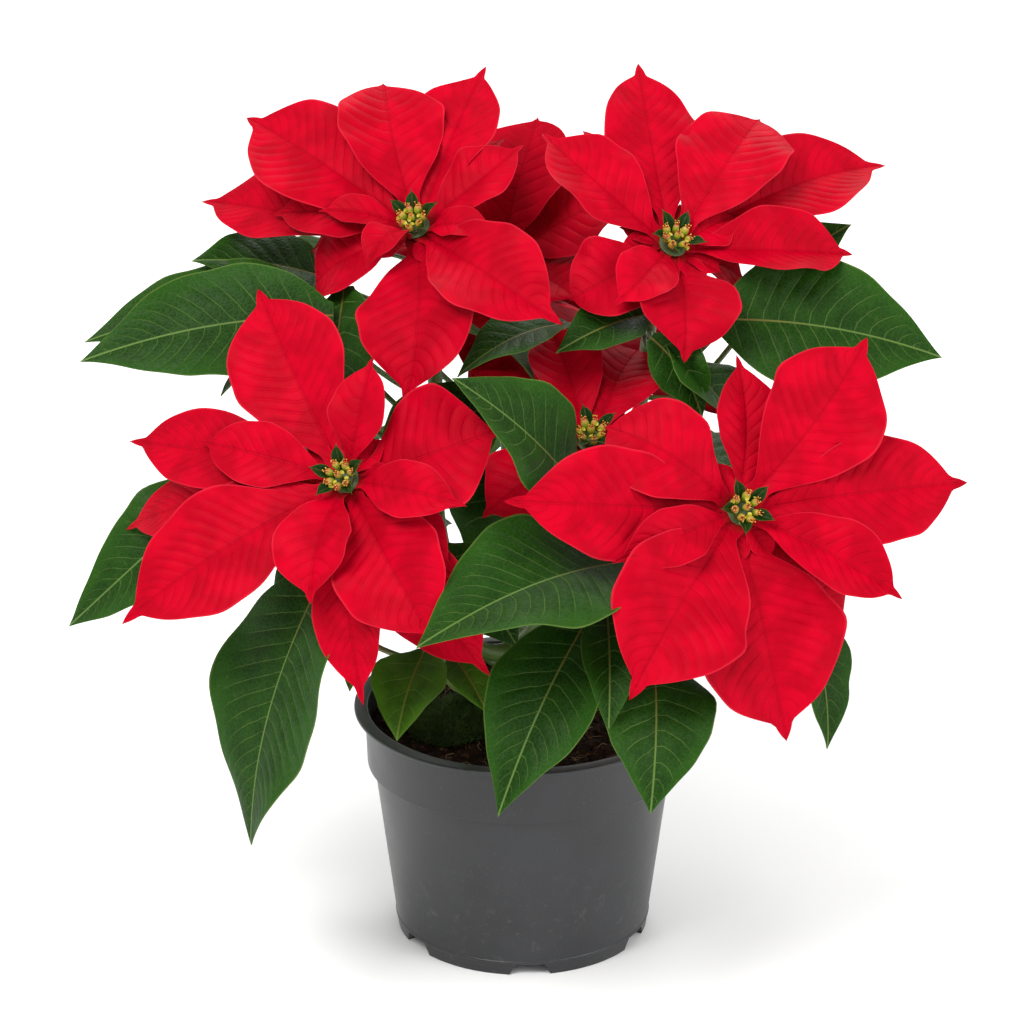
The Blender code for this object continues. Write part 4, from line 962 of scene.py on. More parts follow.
def bud_skins(place, lean, rng):
    """One cyathium: a lobed cup, often a gland on its side, and stamens in its mouth."""
    turn = turn_to(lean) @ Matrix.Rotation(rng.random() * math.tau, 3, "Z")
    way = turn.col[2]
    size = 0.92 + 0.22 * rng.random()
    profile = [(radius * size, height * size) for radius, height in CUP_PROFILE]
    skins = [lathe_skin(profile, 15, place, turn, rng.random(), 0, CUP_LOBES, 0.10)]
    if rng.random() < GLAND_CHANCE:
        out = level_way(turn, GLAND_BEARING)
        gland = place + out * 1.38 * size + way * 3.1 * size
        skins.append(lathe_skin(GLAND_PROFILE, 10, gland, turn_to(out + 0.7 * way), rng.random(), 1))
    for i in range(STAMENS):
        out = level_way(turn, i * math.tau / STAMENS + rng.random())
        foot = place + out * 0.3 + way * 3.8 * size
        head = foot + way * (1.0 + 0.9 * rng.random()) + out * (0.3 + 0.5 * rng.random())
        skins.append(tube_skin([foot, (foot + head) / 2 + out * 0.08, head], 0.14, 5, rng.random(), 2))
        skins.append(ball_skin(head, ANTHER_SIZE, random_turn(rng), 1, rng.random(), finish=3))
    return skins


def dress_cyathia(bloom, bractlets, rng):
    turn, centre, up = bloom_frame(bloom), Vector(bloom.centre), facing(bloom)
    skins = [
        lathe_skin(HUB_PROFILE, 24, centre, turn, rng.random(), 4),
        lathe_skin(DISC_PROFILE, 20, centre + up * GAP, turn, rng.random(), 4),
    ]
    base = centre + up * (GAP + 1.9)
    skins += bud_skins(base + up * 0.6, up, rng)
    for i in range(FINE_BUDS - 1):
        out = level_way(turn, i * math.tau / (FINE_BUDS - 1) + 0.3 + 0.2 * rng.random())
        foot = base + out * FINE_BUD_RING * (0.9 + 0.15 * rng.random()) - up * 0.5 * rng.random()
        skins += bud_skins(foot, up + out * FINE_BUD_LEAN, rng)
    node = "cyathia_" + bloom.name
    piece("buds_" + bloom.name, skins, [BUD, GLAND, FILAMENT, ANTHER, DISC], "cyathia", node)
    small = [blade_skin(blade, BRACTLET_LOOK, rng) for blade in bractlets]
    piece("green_bractlets_" + bloom.name, small, [BRACTLET], "leaf", node)


def inner_bracts(bloom, blades):
    """Small young bracts, low on the hub, in the wide gaps between the big ones."""
    centre, up, turn = Vector(bloom.centre), facing(bloom), bloom_frame(bloom)
    ways = [turn.transposed() @ (blade.tip - centre) for blade in blades]
    bearings = sorted(math.atan2(way.y, way.x) for way in ways)
    for first, second in zip(bearings, bearings[1:] + [bearings[0] + math.tau]):
        if second - first < NARROWEST_GAP:
            continue
        count = max(1, round((second - first) / INNER_BRACT_ROOM))
        for i in range(count):
            out = level_way(turn, first + (second - first) * (i + 1) / (count + 1))
            root = centre + out * 3.0 - up * 2.6
            tip = centre + out * INNER_BRACT_LENGTH - up * 1.5
            yield Blade(root, tip, up, INNER_BRACT_WIDTH, 0.05, 0, 14, 0, BRACT_OUTLINE)


def dress_bracts(bloom, blades, rng):
    skins = [blade_skin(blade, BRACT_LOOK, rng) for blade in blades]
    skins += [blade_skin(blade, BRACTLET_LOOK, rng) for blade in inner_bracts(bloom, blades)]
    piece("red_bracts_" + bloom.name, skins, [BRACT], "bract", "bracts_" + bloom.name)




# Pot

FINE_POT_SIDES = 160
CORNER_STEPS = 4
CORNER_REACH = 0.45
FLOOR_TOP = FLOOR_UNDERSIDE + WALL
INNER_STEP = COLLAR_FOOT_HEIGHT + WALL
BEAD_FOOT = 3.6
BEAD_TOP = 3.2
MOULD_RING = 0.3
NOTCH_BEVEL = 0.9


def rounded(corners):
    """Rounds each (radius, height, rounding) corner of a profile."""
    profile = []
    for i, (x, z, rounding) in enumerate(corners):
        if not rounding:
            profile.append((x, z))
            continue
        here = Vector((x, z))
        before = Vector(corners[i - 1][:2]) - here
        after = Vector(corners[i + 1][:2]) - here
        start = here + before.normalized() * min(rounding, before.length * CORNER_REACH)
        end = here + after.normalized() * min(rounding, after.length * CORNER_REACH)
        for k in range(CORNER_STEPS + 1):
            t = k / CORNER_STEPS
            profile.append(tuple((1 - t) ** 2 * start + 2 * t * (1 - t) * here + t ** 2 * end))
    return profile


def dress_pot():
    """The moulded shell with rounded edges, a bead under its lip, a mould ring, notches and drain holes."""
    profile = rounded((
        (0, FLOOR_UNDERSIDE, 0),
        (body_radius(FLOOR_UNDERSIDE) - FOOT_RING_WIDTH, FLOOR_UNDERSIDE, 0.8),
        (FOOT_RADIUS - FOOT_RING_WIDTH, 0, 0.4),
        (FOOT_RADIUS, 0, 0.5),
        (body_radius(4.9), 4.9, 0.15),
        (body_radius(5.2) + MOULD_RING, 5.2, 0.15),
        (body_radius(5.9) + MOULD_RING, 5.9, 0.15),
        (body_radius(6.2), 6.2, 0.15),
        (BODY_TOP_RADIUS, COLLAR_FOOT_HEIGHT, 0.5),
        (COLLAR_FOOT_RADIUS + 0.1, COLLAR_FOOT_HEIGHT, 0.6),
        (collar_radius(POT_HEIGHT - BEAD_FOOT), POT_HEIGHT - BEAD_FOOT, 0.3),
        (COLLAR_TOP_RADIUS + 1.1, POT_HEIGHT - BEAD_TOP, 0.3),
        (COLLAR_TOP_RADIUS + 1.3, POT_HEIGHT - LIP_THICKNESS, 0.3),
        (LIP_RADIUS, POT_HEIGHT - LIP_THICKNESS, 0.6),
        (LIP_RADIUS, POT_HEIGHT, 0.6),
        (COLLAR_TOP_RADIUS - WALL, POT_HEIGHT, 0.8),
        (collar_radius(INNER_STEP) - WALL, INNER_STEP, 0.6),
        (BODY_TOP_RADIUS - WALL, COLLAR_FOOT_HEIGHT, 0.6),
        (body_radius(FLOOR_TOP) - WALL, FLOOR_TOP, 2.0),
        (0, FLOOR_TOP, 0),
    ))
    skin = lathe_skin(profile, FINE_POT_SIDES, (0, 0, 0), Matrix.Identity(3), 0.5)
    pot = piece("pot_shell", [skin], [POT], "pot", "nursery_pot", sharp=60)
    bearings = [FIRST_NOTCH + i * math.tau / NOTCHES for i in range(NOTCHES)]
    cutters = [cutter for bearing in bearings for cutter in foot_cutters(bearing)]
    tools = bpy.data.collections.new("tools")
    for cutter in cutters:
        tools.objects.link(cutter)
    bpy.context.view_layer.update()
    cut = pot.modifiers.new("cuts", "BOOLEAN")
    cut.operation = "DIFFERENCE"
    cut.operand_type = "COLLECTION"
    cut.collection = tools
    mesh = bpy.data.meshes.new_from_object(pot.evaluated_get(bpy.context.evaluated_depsgraph_get()))
    pot.modifiers.clear()
    pot.data = mesh
    mesh.shade_smooth()
    mesh.set_sharp_from_angle(angle=math.radians(40))
    for cutter in cutters:
        bpy.data.objects.remove(cutter)
    bpy.data.collections.remove(tools)


def foot_cutters(bearing):
    """A tapered notch through the foot ring, and a round drain hole in the floor beside it."""
    notch = bmesh.new()
    bmesh.ops.create_cube(notch, size=1.0)
    for vertex in notch.verts:
        top = vertex.co.z > 0
        width = NOTCH_TOP_WIDTH if top else NOTCH_FOOT_WIDTH
        height = NOTCH_HEIGHT if top else -1.0
        vertex.co = Vector((vertex.co.x * width, vertex.co.y * 4 * FOOT_RING_WIDTH, height)) * MM
    upper = [edge for edge in notch.edges if all(v.co.z > 0 for v in edge.verts) and
             abs(edge.verts[0].co.y - edge.verts[1].co.y) > MM]
    bmesh.ops.bevel(notch, geom=upper, offset=NOTCH_BEVEL * MM, segments=4, profile=0.5, affect="EDGES")
    drain = bmesh.new()
    bmesh.ops.create_cone(drain, cap_ends=True, segments=32, radius1=DRAIN_RADIUS * MM,
                          radius2=DRAIN_RADIUS * MM, depth=4 * WALL * MM)
    drain_place = at_bearing(bearing, DRAIN_CIRCLE, FLOOR_UNDERSIDE)
    for shape, place in ((notch, at_bearing(bearing, FOOT_RADIUS, 0)), (drain, drain_place)):
        mesh = bpy.data.meshes.new("cutter")
        shape.to_mesh(mesh)
        shape.free()
        cutter = bpy.data.objects.new("cutter", mesh)
        cutter.matrix_world = Matrix.Translation(Vector(AXIS) + place * MM) @ Matrix.Rotation(bearing, 4, "Z")
        yield cutter


# Soil

SOIL_SIDES = 180
SOIL_RINGS = 56
LARGE_CRUMBS = 850
SMALL_CRUMBS = 3400
CRUMB_ROUGHNESS = 0.5
FIBRES = 90
FIBRE_POINTS = 6
HEAP = (30, -36)
HEAP_HEIGHT = 2.2
HEAP_SPREAD = 500


def ground(x, y):
    """Height of the loose peat, with a small heap at the right front."""
    heap = HEAP_HEIGHT * math.exp(-((x - HEAP[0]) ** 2 + (y - HEAP[1]) ** 2) / HEAP_SPREAD)
    lumps = 0.9 * noise.noise(Vector((0.35 * x, 0.35 * y, 0)))
    lumps += 0.45 * noise.noise(Vector((0.9 * x, 0.9 * y, 7)))
    return SOIL_TOP + soil_relief(x, y) + heap + lumps


def dress_soil(rng):
    floor = FLOOR_TOP + GAP
    edge = collar_radius(SOIL_TOP) - WALL - 0.1
    profile = [
        (0, floor),
        (body_radius(floor) - WALL - GAP, floor),
        (BODY_TOP_RADIUS - WALL - GAP, COLLAR_FOOT_HEIGHT - GAP),
        (collar_radius(INNER_STEP) - WALL - GAP, INNER_STEP + GAP),
        (edge, SOIL_TOP - 6),
        (edge, SOIL_TOP - 3),
    ]
    profile += [(edge * (1 - i / SOIL_RINGS), SOIL_TOP) for i in range(SOIL_RINGS + 1)]
    bed = lathe_skin(profile, SOIL_SIDES, (0, 0, 0), Matrix.Identity(3), 0.3)
    for point in bed.points:
        if point[2] > SOIL_TOP - 1:
            point[2] = ground(point[0], point[1])
    piece("soil_bed", [bed], [SOIL], "soil", "potting_soil", sharp=180)
    skins = []
    for count, sizes, detail in ((LARGE_CRUMBS, (0.6, 1.6), 2), (SMALL_CRUMBS, (0.25, 0.8), 1)):
        for _ in range(count):
            radius = edge * math.sqrt(rng.random()) * 0.99
            clock = rng.random() * math.tau
            x, y = radius * math.cos(clock), radius * math.sin(clock)
            size = sizes[0] + (sizes[1] - sizes[0]) * rng.random() ** 2
            place = (x, y, ground(x, y) + size * (0.5 * rng.random() - 0.1))
            shape = (size, size * (0.6 + 0.4 * rng.random()), size * (0.5 + 0.3 * rng.random()))
            turn = random_turn(rng)
            skins.append(ball_skin(place, shape, turn, detail, rng.random(), CRUMB_ROUGHNESS, rng))
    piece("soil_crumbs", skins, [CRUMBS], "soil", "potting_soil", sharp=30)
    strands = []
    for _ in range(FIBRES):
        radius = edge * 0.93 * math.sqrt(rng.random())
        clock, bearing = rng.random() * math.tau, rng.random() * math.tau
        length = 2.5 + 6 * rng.random()
        path = []
        for k in range(FIBRE_POINTS):
            t = k / (FIBRE_POINTS - 1) - 0.5
            curl = 0.8 * math.sin(7 * t)
            x = radius * math.cos(clock) + length * t * math.cos(bearing) + curl * math.sin(bearing)
            y = radius * math.sin(clock) + length * t * math.sin(bearing)
            path.append(Vector((x, y, ground(x, y) + 0.6 + 0.5 * math.cos(3 * t))))
        strands.append(tube_skin(path, 0.10 + 0.12 * rng.random(), 5, rng.random()))
    piece("soil_fibres", strands, [FIBRE], "soil", "potting_soil")


# Moss

MOSS_TUFTS = 5200
MOSS_SIDES = 48
MOSS_RINGS = 16
MOUND_SHARE = 0.93


def moss_point(clock, lift):
    """Point and outward direction on the moss mound at this bearing and share of a quarter turn upwards."""
    level, height = math.cos(lift), math.sin(lift)
    rough = 1 + 0.14 * noise.noise(Vector((3 * math.cos(clock), 3 * math.sin(clock), 3 * lift)))
    x = MOSS_CENTRE[0] + MOSS_SIZE[0] * MOUND_SHARE * math.cos(clock) * level * rough
    y = MOSS_CENTRE[1] + MOSS_SIZE[1] * MOUND_SHARE * math.sin(clock) * level * rough
    z = ground(x, y) + MOSS_SIZE[2] * 0.92 * height * rough
    way = Vector((math.cos(clock) * level / MOSS_SIZE[0], math.sin(clock) * level / MOSS_SIZE[1],
                  height / MOSS_SIZE[2])).normalized()
    return Vector((x, y, z)), way


def tuft_skin(foot, way, length, width, rng):
    """One moss shoot: a bent three-sided spike."""
    bend = Vector((rng.random() - 0.5, rng.random() - 0.5, 0.25 * rng.random()))
    side = way.orthogonal().normalized()
    points = []
    for share, size in ((0.0, width), (0.55, 0.8 * width)):
        centre = foot + way * length * share + bend * length * share ** 2
        for k in range(3):
            points.append(centre + Matrix.Rotation(k * math.tau / 3, 3, way) @ side * size)
    points.append(foot + way * length + bend * length)
    faces = [(0, 2, 1), (0, 1, 4, 3), (1, 2, 5, 4), (2, 0, 3, 5), (3, 4, 6), (4, 5, 6), (5, 3, 6)]
    seed = rng.random()
    vein = np.array([(0, share, 1) for share in (0, 0, 0, 0.5, 0.5, 0.5, 1.0)])
    flat = np.array([(0, 0, seed)] * 7)
    return Skin(np.array([tuple(point) for point in points]), faces, vein, flat)


def dress_moss(rng):
    rows = [(MOUND_SHARE * math.cos(i / MOSS_RINGS * math.pi / 2), i) for i in range(MOSS_RINGS)]
    profile = [(0, -3.0), *rows, (0, MOSS_RINGS)]
    mound = lathe_skin(profile, MOSS_SIDES, (0, 0, 0), Matrix.Identity(3), 0.5)
    for point in mound.points:
        if point[2] < 0:
            point[:] = (*MOSS_CENTRE, SOIL_TOP - 3)
            continue
        clock = math.atan2(point[1], point[0])
        point[:] = moss_point(clock, point[2] / MOSS_RINGS * math.pi / 2)[0]
    piece("moss_mound", [mound], [MOSS], "moss", "moss_cushion", sharp=180)
    tufts = []
    for _ in range(MOSS_TUFTS):
        clock = rng.random() * math.tau
        foot, way = moss_point(clock, math.asin(rng.random() ** 0.8))
        way = (way + Vector((rng.random() - 0.5, rng.random() - 0.5, rng.random() * 0.6)) * 0.9).normalized()
        length, width = 1.6 + 2.4 * rng.random(), 0.14 + 0.14 * rng.random()
        tufts.append(tuft_skin(foot - way * 0.6, way, length, width, rng))
    piece("moss_shoots", tufts, [MOSS], "moss", "moss_cushion", sharp=40)


# Materials

class Finish:
    """A Principled material whose colour and relief are drawn by nodes."""

    def __init__(self, name, roughness, **constants):
        self.material = bpy.data.materials.new(name)
        self.material.use_nodes = True
        self.tree = self.material.node_tree
        self.shader = self.tree.nodes["Principled BSDF"]
        self.shader.inputs["Roughness"].default_value = roughness
        for key, value in constants.items():
            self.shader.inputs[key.replace("_", " ")].default_value = value

    def add(self, kind, inputs, **settings):
        made = self.tree.nodes.new("ShaderNode" + kind)
        for key, value in settings.items():
            setattr(made, key, value)
        for key, value in inputs.items():
            if isinstance(value, bpy.types.NodeSocket):
                self.tree.links.new(value, made.inputs[key])
            else:
                made.inputs[key].default_value = value
        return made

    def parts(self, name):
        """The three numbers of a point attribute."""
        source = self.add("Attribute", {}, attribute_name=name)
        split = self.add("SeparateXYZ", {0: source.outputs["Vector"]})
        return split.outputs[0], split.outputs[1], split.outputs[2]

    def vector(self, name):
        return self.add("Attribute", {}, attribute_name=name).outputs["Vector"]

    def math(self, operation, first, second=0.0):
        return self.add("Math", {0: first, 1: second}, operation=operation).outputs[0]

    def times(self, first, second):
        return self.math("MULTIPLY", first, second)

    def plus(self, first, second):
        return self.math("ADD", first, second)

    def minus(self, first, second):
        return self.math("SUBTRACT", first, second)

    def between(self, value, low, high, start=0.0, end=1.0):
        """A smooth step of value from low to high."""
        inputs = {"Value": value, "From Min": low, "From Max": high, "To Min": start, "To Max": end}
        return self.add("MapRange", inputs, interpolation_type="SMOOTHSTEP").outputs[0]

    def noise(self, vector, scale, detail=3.0, roughness=0.55):
        inputs = {"Vector": vector, "Scale": scale, "Detail": detail, "Roughness": roughness}
        return self.add("TexNoise", inputs).outputs[0]

    def cells(self, vector, scale, feature="F1"):
        return self.add("TexVoronoi", {"Vector": vector, "Scale": scale}, feature=feature).outputs[0]

    def mix(self, factor, first, second):
        first, second = ((*c, 1.0) if isinstance(c, tuple) else c for c in (first, second))
        return self.add("Mix", {0: factor, 6: first, 7: second}, data_type="RGBA").outputs[2]

    def tint(self, colour, new, value, low, high, share=1.0):
        """The colour, turned into the new one by this share as the value goes from low to high."""
        return self.mix(self.between(value, low, high, 0.0, share), colour, new)

    def wash(self, colour, new, amount, share):
        """The colour, turned into the new one by this share of the amount."""
        return self.mix(self.times(amount, share), colour, new)

    def stretched(self, vector, scale):
        return self.add("Mapping", {"Vector": vector, "Scale": scale}).outputs[0]

    def object_point(self):
        return self.add("TexCoord", {}).outputs["Object"]

    def done(self, colour, height=None, distance=0.0002, strength=1.0, roughness=None):
        self.tree.links.new(colour, self.shader.inputs["Base Color"])
        if roughness is not None:
            self.tree.links.new(roughness, self.shader.inputs["Roughness"])
        if height is not None:
            bump = self.add("Bump", {"Height": height, "Distance": distance, "Strength": strength})
            self.tree.links.new(bump.outputs[0], self.shader.inputs["Normal"])
        return self.material


def blade_veins(finish, thin, midrib_width):
    """How much of a lateral vein and of the midrib there is at each point of a blade."""
    number, wide, top = finish.parts("vein")
    along, across, seed = finish.parts("flat")
    flat = finish.vector("flat")
    wobble = finish.times(finish.noise(flat, 0.25, 2.0), 0.10)
    shifted = finish.plus(finish.plus(number, wobble), 0.45)
    phase = finish.math("ABSOLUTE", finish.minus(finish.math("FRACT", shifted), 0.5))
    lateral = finish.between(phase, thin * 0.3, thin, 1.0, 0.0)
    lateral = finish.times(lateral, finish.between(wide, 0.50, 0.92, 1.0, 0.0))
    fading = finish.between(finish.noise(flat, 0.10, 2.0), 0.25, 0.60, 0.45, 1.0)
    lateral = finish.times(lateral, fading)
    midrib = finish.between(finish.math("ABSOLUTE", across), 0.3 * midrib_width, midrib_width, 1.0, 0.0)
    return lateral, midrib, wide, top, along, seed


def bract_material():
    finish = Finish("bract_red", 0.50, Specular_IOR_Level=0.03)
    lateral, midrib, wide, top, along, seed = blade_veins(finish, 0.16, 0.75)
    flat = finish.vector("flat")
    mottle = finish.noise(flat, 0.07, 2.0)
    grain = finish.noise(flat, 1.3, 4.0, 0.65)
    # Soft darker patches across the bract: partly random tone, partly painted shade standing in for the
    # bract's gentle undulations.
    colour = finish.tint((0.49, 0.0001, 0.0135), (0.36, 0.0001, 0.0090), mottle, 0.35, 0.65)
    colour = finish.wash(colour, (0.31, 0.0001, 0.0075), seed, 0.25)
    colour = finish.wash(colour, (0.24, 0.0001, 0.0050), lateral, 0.11)
    colour = finish.wash(colour, (0.24, 0.0003, 0.0060), midrib, 0.28)
    colour = finish.tint(colour, (0.62, 0.0020, 0.0240), grain, 0.55, 0.75, 0.22)
    # Painted highlight: a thin paler, pinker rim along the bract's edge.
    colour = finish.tint(colour, (0.66, 0.0300, 0.0550), wide, 0.955, 1.0, 0.40)
    colour = finish.tint(colour, (0.22, 0.0160, 0.0080), along, 6.0, 1.0, 0.6)
    colour = finish.tint(colour, (0.27, 0.0020, 0.0100), top, 0.9, 0.1, 0.60)
    height = finish.minus(finish.times(grain, 0.35), finish.times(lateral, 0.8))
    height = finish.minus(height, finish.times(midrib, 0.8))
    return finish.done(colour, height, 0.00018)


def leaf_material(name, dark, light, vein_colour, vein_share, foot_colour=(0.18, 0.06, 0.015)):
    finish = Finish(name, 0.44, Specular_IOR_Level=0.09)
    lateral, midrib, wide, top, along, seed = blade_veins(finish, 0.055, 0.50)
    flat = finish.vector("flat")
    mottle = finish.noise(flat, 0.10, 3.0)
    grain = finish.noise(flat, 1.6, 4.0, 0.6)
    net = finish.cells(flat, 0.55, "DISTANCE_TO_EDGE")
    threads = finish.between(net, 0.01, 0.07, 1.0, 0.0)
    colour = finish.tint(dark, light, mottle, 0.3, 0.7)
    colour = finish.wash(colour, tuple(0.7 * c for c in dark), seed, 0.35)
    colour = finish.tint(colour, tuple(1.6 * c for c in light), grain, 0.5, 0.8, 0.3)
    colour = finish.tint(colour, tuple(1.7 * c for c in light), wide, 0.40, 1.0, 0.45)
    colour = finish.wash(colour, vein_colour, threads, 0.10)
    colour = finish.wash(colour, vein_colour, lateral, vein_share)
    colour = finish.wash(colour, vein_colour, midrib, 0.75)
    reddish = finish.times(finish.between(along, 45.0, 5.0), midrib)
    colour = finish.wash(colour, foot_colour, reddish, 0.6)
    # Painted highlight: a thin lighter rim along the blade's edge.
    colour = finish.tint(colour, (0.12, 0.19, 0.03), wide, 0.965, 1.0, 0.55)
    colour = finish.tint(colour, (0.07, 0.15, 0.04), top, 0.9, 0.1, 0.7)
    height = finish.plus(finish.times(grain, 0.25), finish.between(net, 0.0, 0.35, 0.0, 0.5))
    height = finish.minus(height, finish.times(lateral, 0.9))
    rough = finish.between(grain, 0.3, 0.8, 0.42, 0.58)
    rough = finish.plus(rough, finish.between(top, 0.9, 0.1, 0.0, 0.25))
    return finish.done(colour, height, 0.00016, roughness=rough)


def stalk_material():
    finish = Finish("stalk_green", 0.45)
    _, share, _ = finish.parts("vein")
    streaks = finish.noise(finish.stretched(finish.vector("flat"), (0.12, 1.2, 1.0)), 1.0, 4.0)
    spots = finish.noise(finish.stretched(finish.vector("flat"), (0.6, 1.6, 1.0)), 1.0, 2.0)
    colour = finish.tint((0.05, 0.105, 0.018), (0.095, 0.165, 0.035), streaks, 0.35, 0.65)
    colour = finish.tint(colour, (0.24, 0.045, 0.02), share, 0.5, 1.0, 0.45)
    colour = finish.tint(colour, (0.28, 0.22, 0.12), spots, 0.66, 0.74, 0.5)
    return finish.done(colour, streaks, 0.00015)


def bark_material():
    finish = Finish("bark", 0.78)
    flat = finish.vector("flat")
    ridges = finish.noise(finish.stretched(flat, (0.14, 0.9, 1.0)), 1.0, 6.0, 0.65)
    cracks = finish.cells(finish.stretched(flat, (0.16, 0.55, 1.0)), 1.0, "DISTANCE_TO_EDGE")
    colour = finish.tint((0.055, 0.038, 0.024), (0.19, 0.145, 0.095), ridges, 0.3, 0.7)
    colour = finish.mix(finish.between(cracks, 0.0, 0.06, 0.75, 0.0), colour, (0.03, 0.02, 0.012))
    colour = finish.tint(colour, (0.10, 0.13, 0.05), finish.noise(flat, 0.12, 2.0), 0.55, 0.7, 0.5)
    height = finish.plus(ridges, finish.between(cracks, 0.0, 0.12, 0.0, 0.6))
    return finish.done(colour, height, 0.0006)


def pot_material():
    finish = Finish("anthracite_plastic", 0.36, Specular_IOR_Level=0.45)
    place = finish.object_point()
    cloud = finish.noise(place, 28.0, 4.0)
    specks = finish.noise(place, 900.0, 3.0, 0.7)
    brushed = finish.noise(finish.stretched(place, (60.0, 60.0, 700.0)), 1.0, 3.0)
    colour = finish.tint((0.0160, 0.0165, 0.0185), (0.0240, 0.0250, 0.0275), cloud, 0.3, 0.7)
    colour = finish.tint(colour, (0.16, 0.16, 0.165), specks, 0.62, 0.78, 0.35)
    low = finish.add("SeparateXYZ", {0: place}).outputs[2]
    scratches = finish.between(finish.noise(place, 220.0, 5.0, 0.7), 0.56, 0.72)
    scuffs = finish.times(scratches, finish.between(low, 0.055, 0.015))
    colour = finish.wash(colour, (0.20, 0.19, 0.18), scuffs, 0.18)
    height = finish.plus(finish.times(specks, 0.5), finish.times(brushed, 0.5))
    rough = finish.between(cloud, 0.3, 0.7, 0.30, 0.42)
    return finish.done(colour, height, 0.00010, roughness=rough)


def soil_material(name, tones, pale):
    finish = Finish(name, 0.95, Specular_IOR_Level=0.2)
    _, _, seed = finish.parts("flat")
    place = finish.object_point()
    grain = finish.noise(place, 900.0, 5.0, 0.7)
    patch = finish.noise(place, 60.0, 3.0)
    colour = finish.tint(*tones, patch, 0.35, 0.65)
    colour = finish.tint(colour, (0.085, 0.036, 0.016), grain, 0.45, 0.75, 0.6)
    colour = finish.tint(colour, (0.16, 0.065, 0.028), seed, 0.72, 1.0, pale)
    return finish.done(colour, grain, 0.0007)


def moss_material():
    finish = Finish("moss_green", 0.75)
    _, share, _ = finish.parts("vein")
    _, _, seed = finish.parts("flat")
    patch = finish.noise(finish.object_point(), 130.0, 3.0)
    colour = finish.mix(share, (0.014, 0.028, 0.006), (0.070, 0.150, 0.018))
    colour = finish.wash(colour, (0.110, 0.160, 0.020), seed, 0.5)
    colour = finish.tint(colour, (0.022, 0.050, 0.010), patch, 0.4, 0.7, 0.5)
    return finish.done(colour, patch, 0.0004)


def fibre_material():
    finish = Finish("root_fibre", 0.85)
    _, _, seed = finish.parts("flat")
    return finish.done(finish.mix(seed, (0.10, 0.05, 0.025), (0.26, 0.17, 0.09)))


def bud_material():
    finish = Finish("bud_green", 0.42)
    _, share, _ = finish.parts("vein")
    _, _, seed = finish.parts("flat")
    grain = finish.noise(finish.vector("flat"), 2.0, 3.0)
    colour = finish.tint((0.045, 0.11, 0.010), (0.26, 0.32, 0.018), share, 0.05, 0.50)
    tips = finish.mix(seed, (0.50, 0.26, 0.03), (0.50, 0.07, 0.05))
    colour = finish.tint(colour, tips, share, 0.72, 0.98, 0.9)
    colour = finish.tint(colour, (0.22, 0.30, 0.02), grain, 0.5, 0.7, 0.4)
    return finish.done(colour, grain, 0.00015)


def simple_material(name, first, second, roughness):
    """A small organ's colour that runs from its foot to its head, with fine mottling."""
    finish = Finish(name, roughness)
    _, share, _ = finish.parts("vein")
    grain = finish.noise(finish.vector("flat"), 2.5, 2.0)
    colour = finish.mix(share, first, second)
    colour = finish.tint(colour, tuple(0.6 * c for c in second), grain, 0.4, 0.7, 0.3)
    return finish.done(colour, grain, 0.0001)


def floor_material():
    finish = Finish("pale_floor", 0.90, Specular_IOR_Level=0.1)
    grain = finish.noise(finish.object_point(), 3.0, 2.0)
    return finish.done(finish.mix(grain, (0.94, 0.94, 0.94), (0.96, 0.96, 0.96)))


# Studio

FLOOR_REACH = 6.0
WORLD_STRENGTH = 0.84
LIGHT_TARGET = (0, 0, 0.18)
LIGHTS = (
    ("key", (-0.7, -1.1, 1.8), 1.0, 34.0, (1.0, 0.99, 0.98)),
    ("fill", (1.4, -0.9, 0.9), 1.0, 11.0, (0.99, 0.99, 1.0)),
    ("back", (0.2, 1.6, 1.6), 1.2, 17.0, (1.0, 1.0, 1.0)),
)
CAMERA_PLACE = (-4.1, -1353.1, 700.5)
CAMERA_PITCH = 21.36


def add_object(name, data):
    made = bpy.data.objects.new(name, data)
    bpy.context.scene.collection.objects.link(made)
    return made


def area_light(name, place, size, power, colour):
    data = bpy.data.lights.new(name, "AREA")
    data.shape = "DISK"
    data.size = size
    data.energy = power
    data.color = colour
    light = add_object(name, data)
    light.location = place
    light.rotation_euler = (Vector(LIGHT_TARGET) - Vector(place)).to_track_quat("-Z", "Y").to_euler()


def make_studio():
    corners = [(FLOOR_REACH * x, FLOOR_REACH * y, 0) for x, y in ((-1, -1), (1, -1), (1, 1), (-1, 1))]
    data = bpy.data.meshes.new("floor")
    data.from_pydata(corners, [], [(0, 1, 2, 3)])
    data.materials.append(floor_material())
    add_object("floor", data)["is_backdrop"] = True
    world = bpy.data.worlds.new("studio")
    world.use_nodes = True
    background = world.node_tree.nodes["Background"].inputs
    background["Color"].default_value = (1.0, 1.0, 1.0, 1.0)
    background["Strength"].default_value = WORLD_STRENGTH
    bpy.context.scene.world = world
    for light in LIGHTS:
        area_light(*light)
    bpy.context.scene.view_settings.view_transform = "Standard"


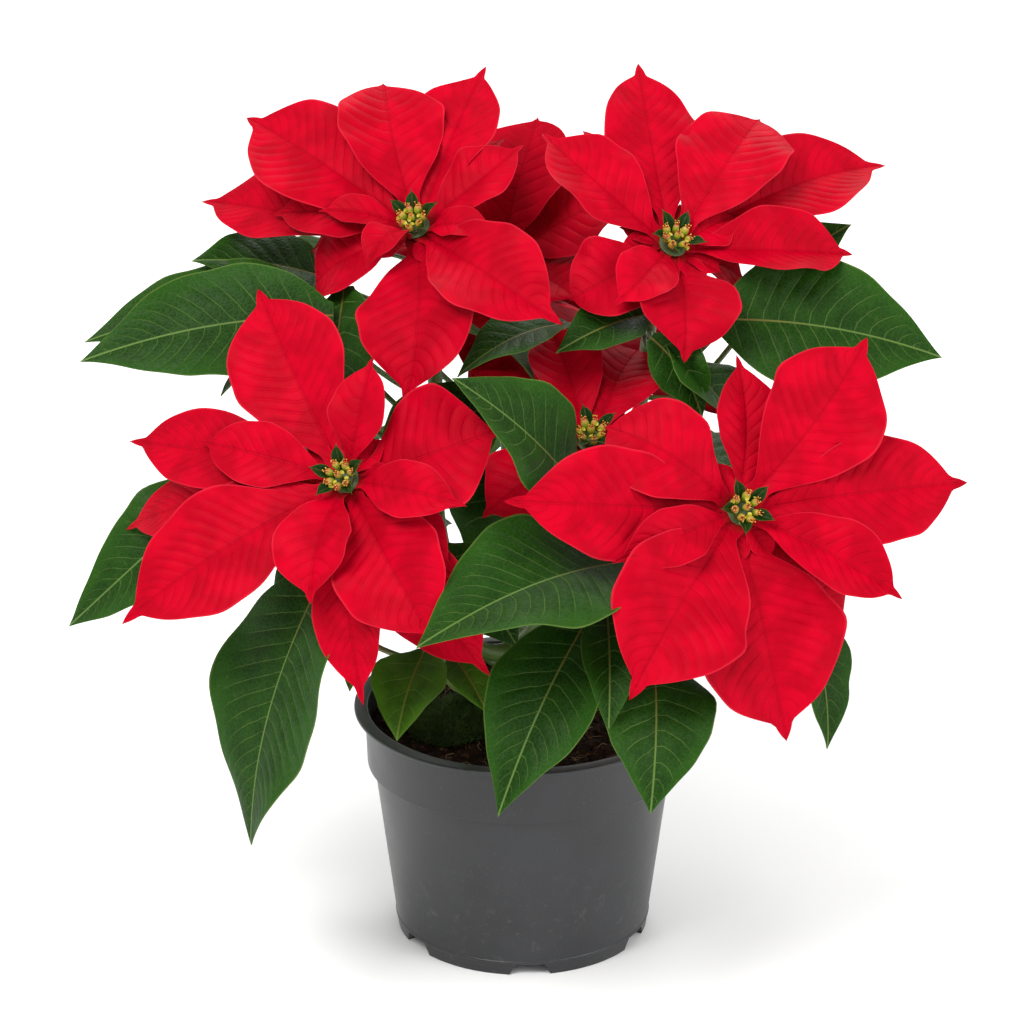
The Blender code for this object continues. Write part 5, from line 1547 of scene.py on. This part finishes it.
def make_camera():
    data = bpy.data.cameras.new("camera")
    data.lens = 135.0
    data.sensor_width = 36.0
    data.clip_end = 30.0
    camera = add_object("camera", data)
    camera.location = Vector(CAMERA_PLACE) * MM + Vector(AXIS)
    camera.rotation_euler = (math.radians(90 - CAMERA_PITCH), 0, 0)
    bpy.context.scene.camera = camera


def dress_everything():
    rng = np.random.default_rng(12)
    dress_pot()
    dress_soil(rng)
    dress_moss(rng)
    dress_trunk(rng)
    bracts, bractlets, leaves = place_everything()
    for bloom in BLOOMS:
        dress_bracts(bloom, bracts[bloom.name], rng)
        dress_cyathia(bloom, bractlets[bloom.name], rng)
    for name in STEMS:
        dress_leafy_stem(name, leaves[name], rng)


low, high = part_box("nursery_pot")
AXIS = np.array(((low[0] + high[0]) / 2, (low[1] + high[1]) / 2, 0.0))
BRACT = bract_material()
LEAF = leaf_material("leaf_green", (0.0060, 0.031, 0.0014), (0.012, 0.050, 0.0028), (0.12, 0.20, 0.045), 0.42)
YOUNG_LEAF = leaf_material("young_leaf_green", (0.028, 0.082, 0.005), (0.052, 0.130, 0.009),
                           (0.16, 0.26, 0.04), 0.40)
# The bractlets' very dark green is partly their own colour and partly painted shade of the hub round the
# cyathia.
BRACTLET = leaf_material("bractlet_green", (0.004, 0.020, 0.002), (0.008, 0.030, 0.003),
                         (0.03, 0.07, 0.01), 0.3, (0.03, 0.04, 0.008))
STALK = stalk_material()
BARK = bark_material()
POT = pot_material()
SOIL = soil_material("peat", ((0.010, 0.005, 0.003), (0.022, 0.010, 0.006)), 0.0)
CRUMBS = soil_material("peat_crumbs", ((0.012, 0.006, 0.004), (0.030, 0.013, 0.007)), 0.8)
FIBRE = fibre_material()
MOSS = moss_material()
BUD = bud_material()
DISC = simple_material("disc_green", (0.030, 0.030, 0.006), (0.045, 0.070, 0.010), 0.5)
GLAND = simple_material("gland_yellow", (0.24, 0.28, 0.02), (0.50, 0.42, 0.03), 0.3)
FILAMENT = simple_material("filament_red", (0.30, 0.10, 0.02), (0.60, 0.02, 0.03), 0.4)
ANTHER = simple_material("anther_yellow", (0.55, 0.20, 0.03), (0.70, 0.42, 0.04), 0.6)

dress_everything()
make_studio()
make_camera()
boxes = {"cad": CAD_BOX, "visual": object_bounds()}
{key: [list(corner) for corner in box] for key, box in boxes.items()}
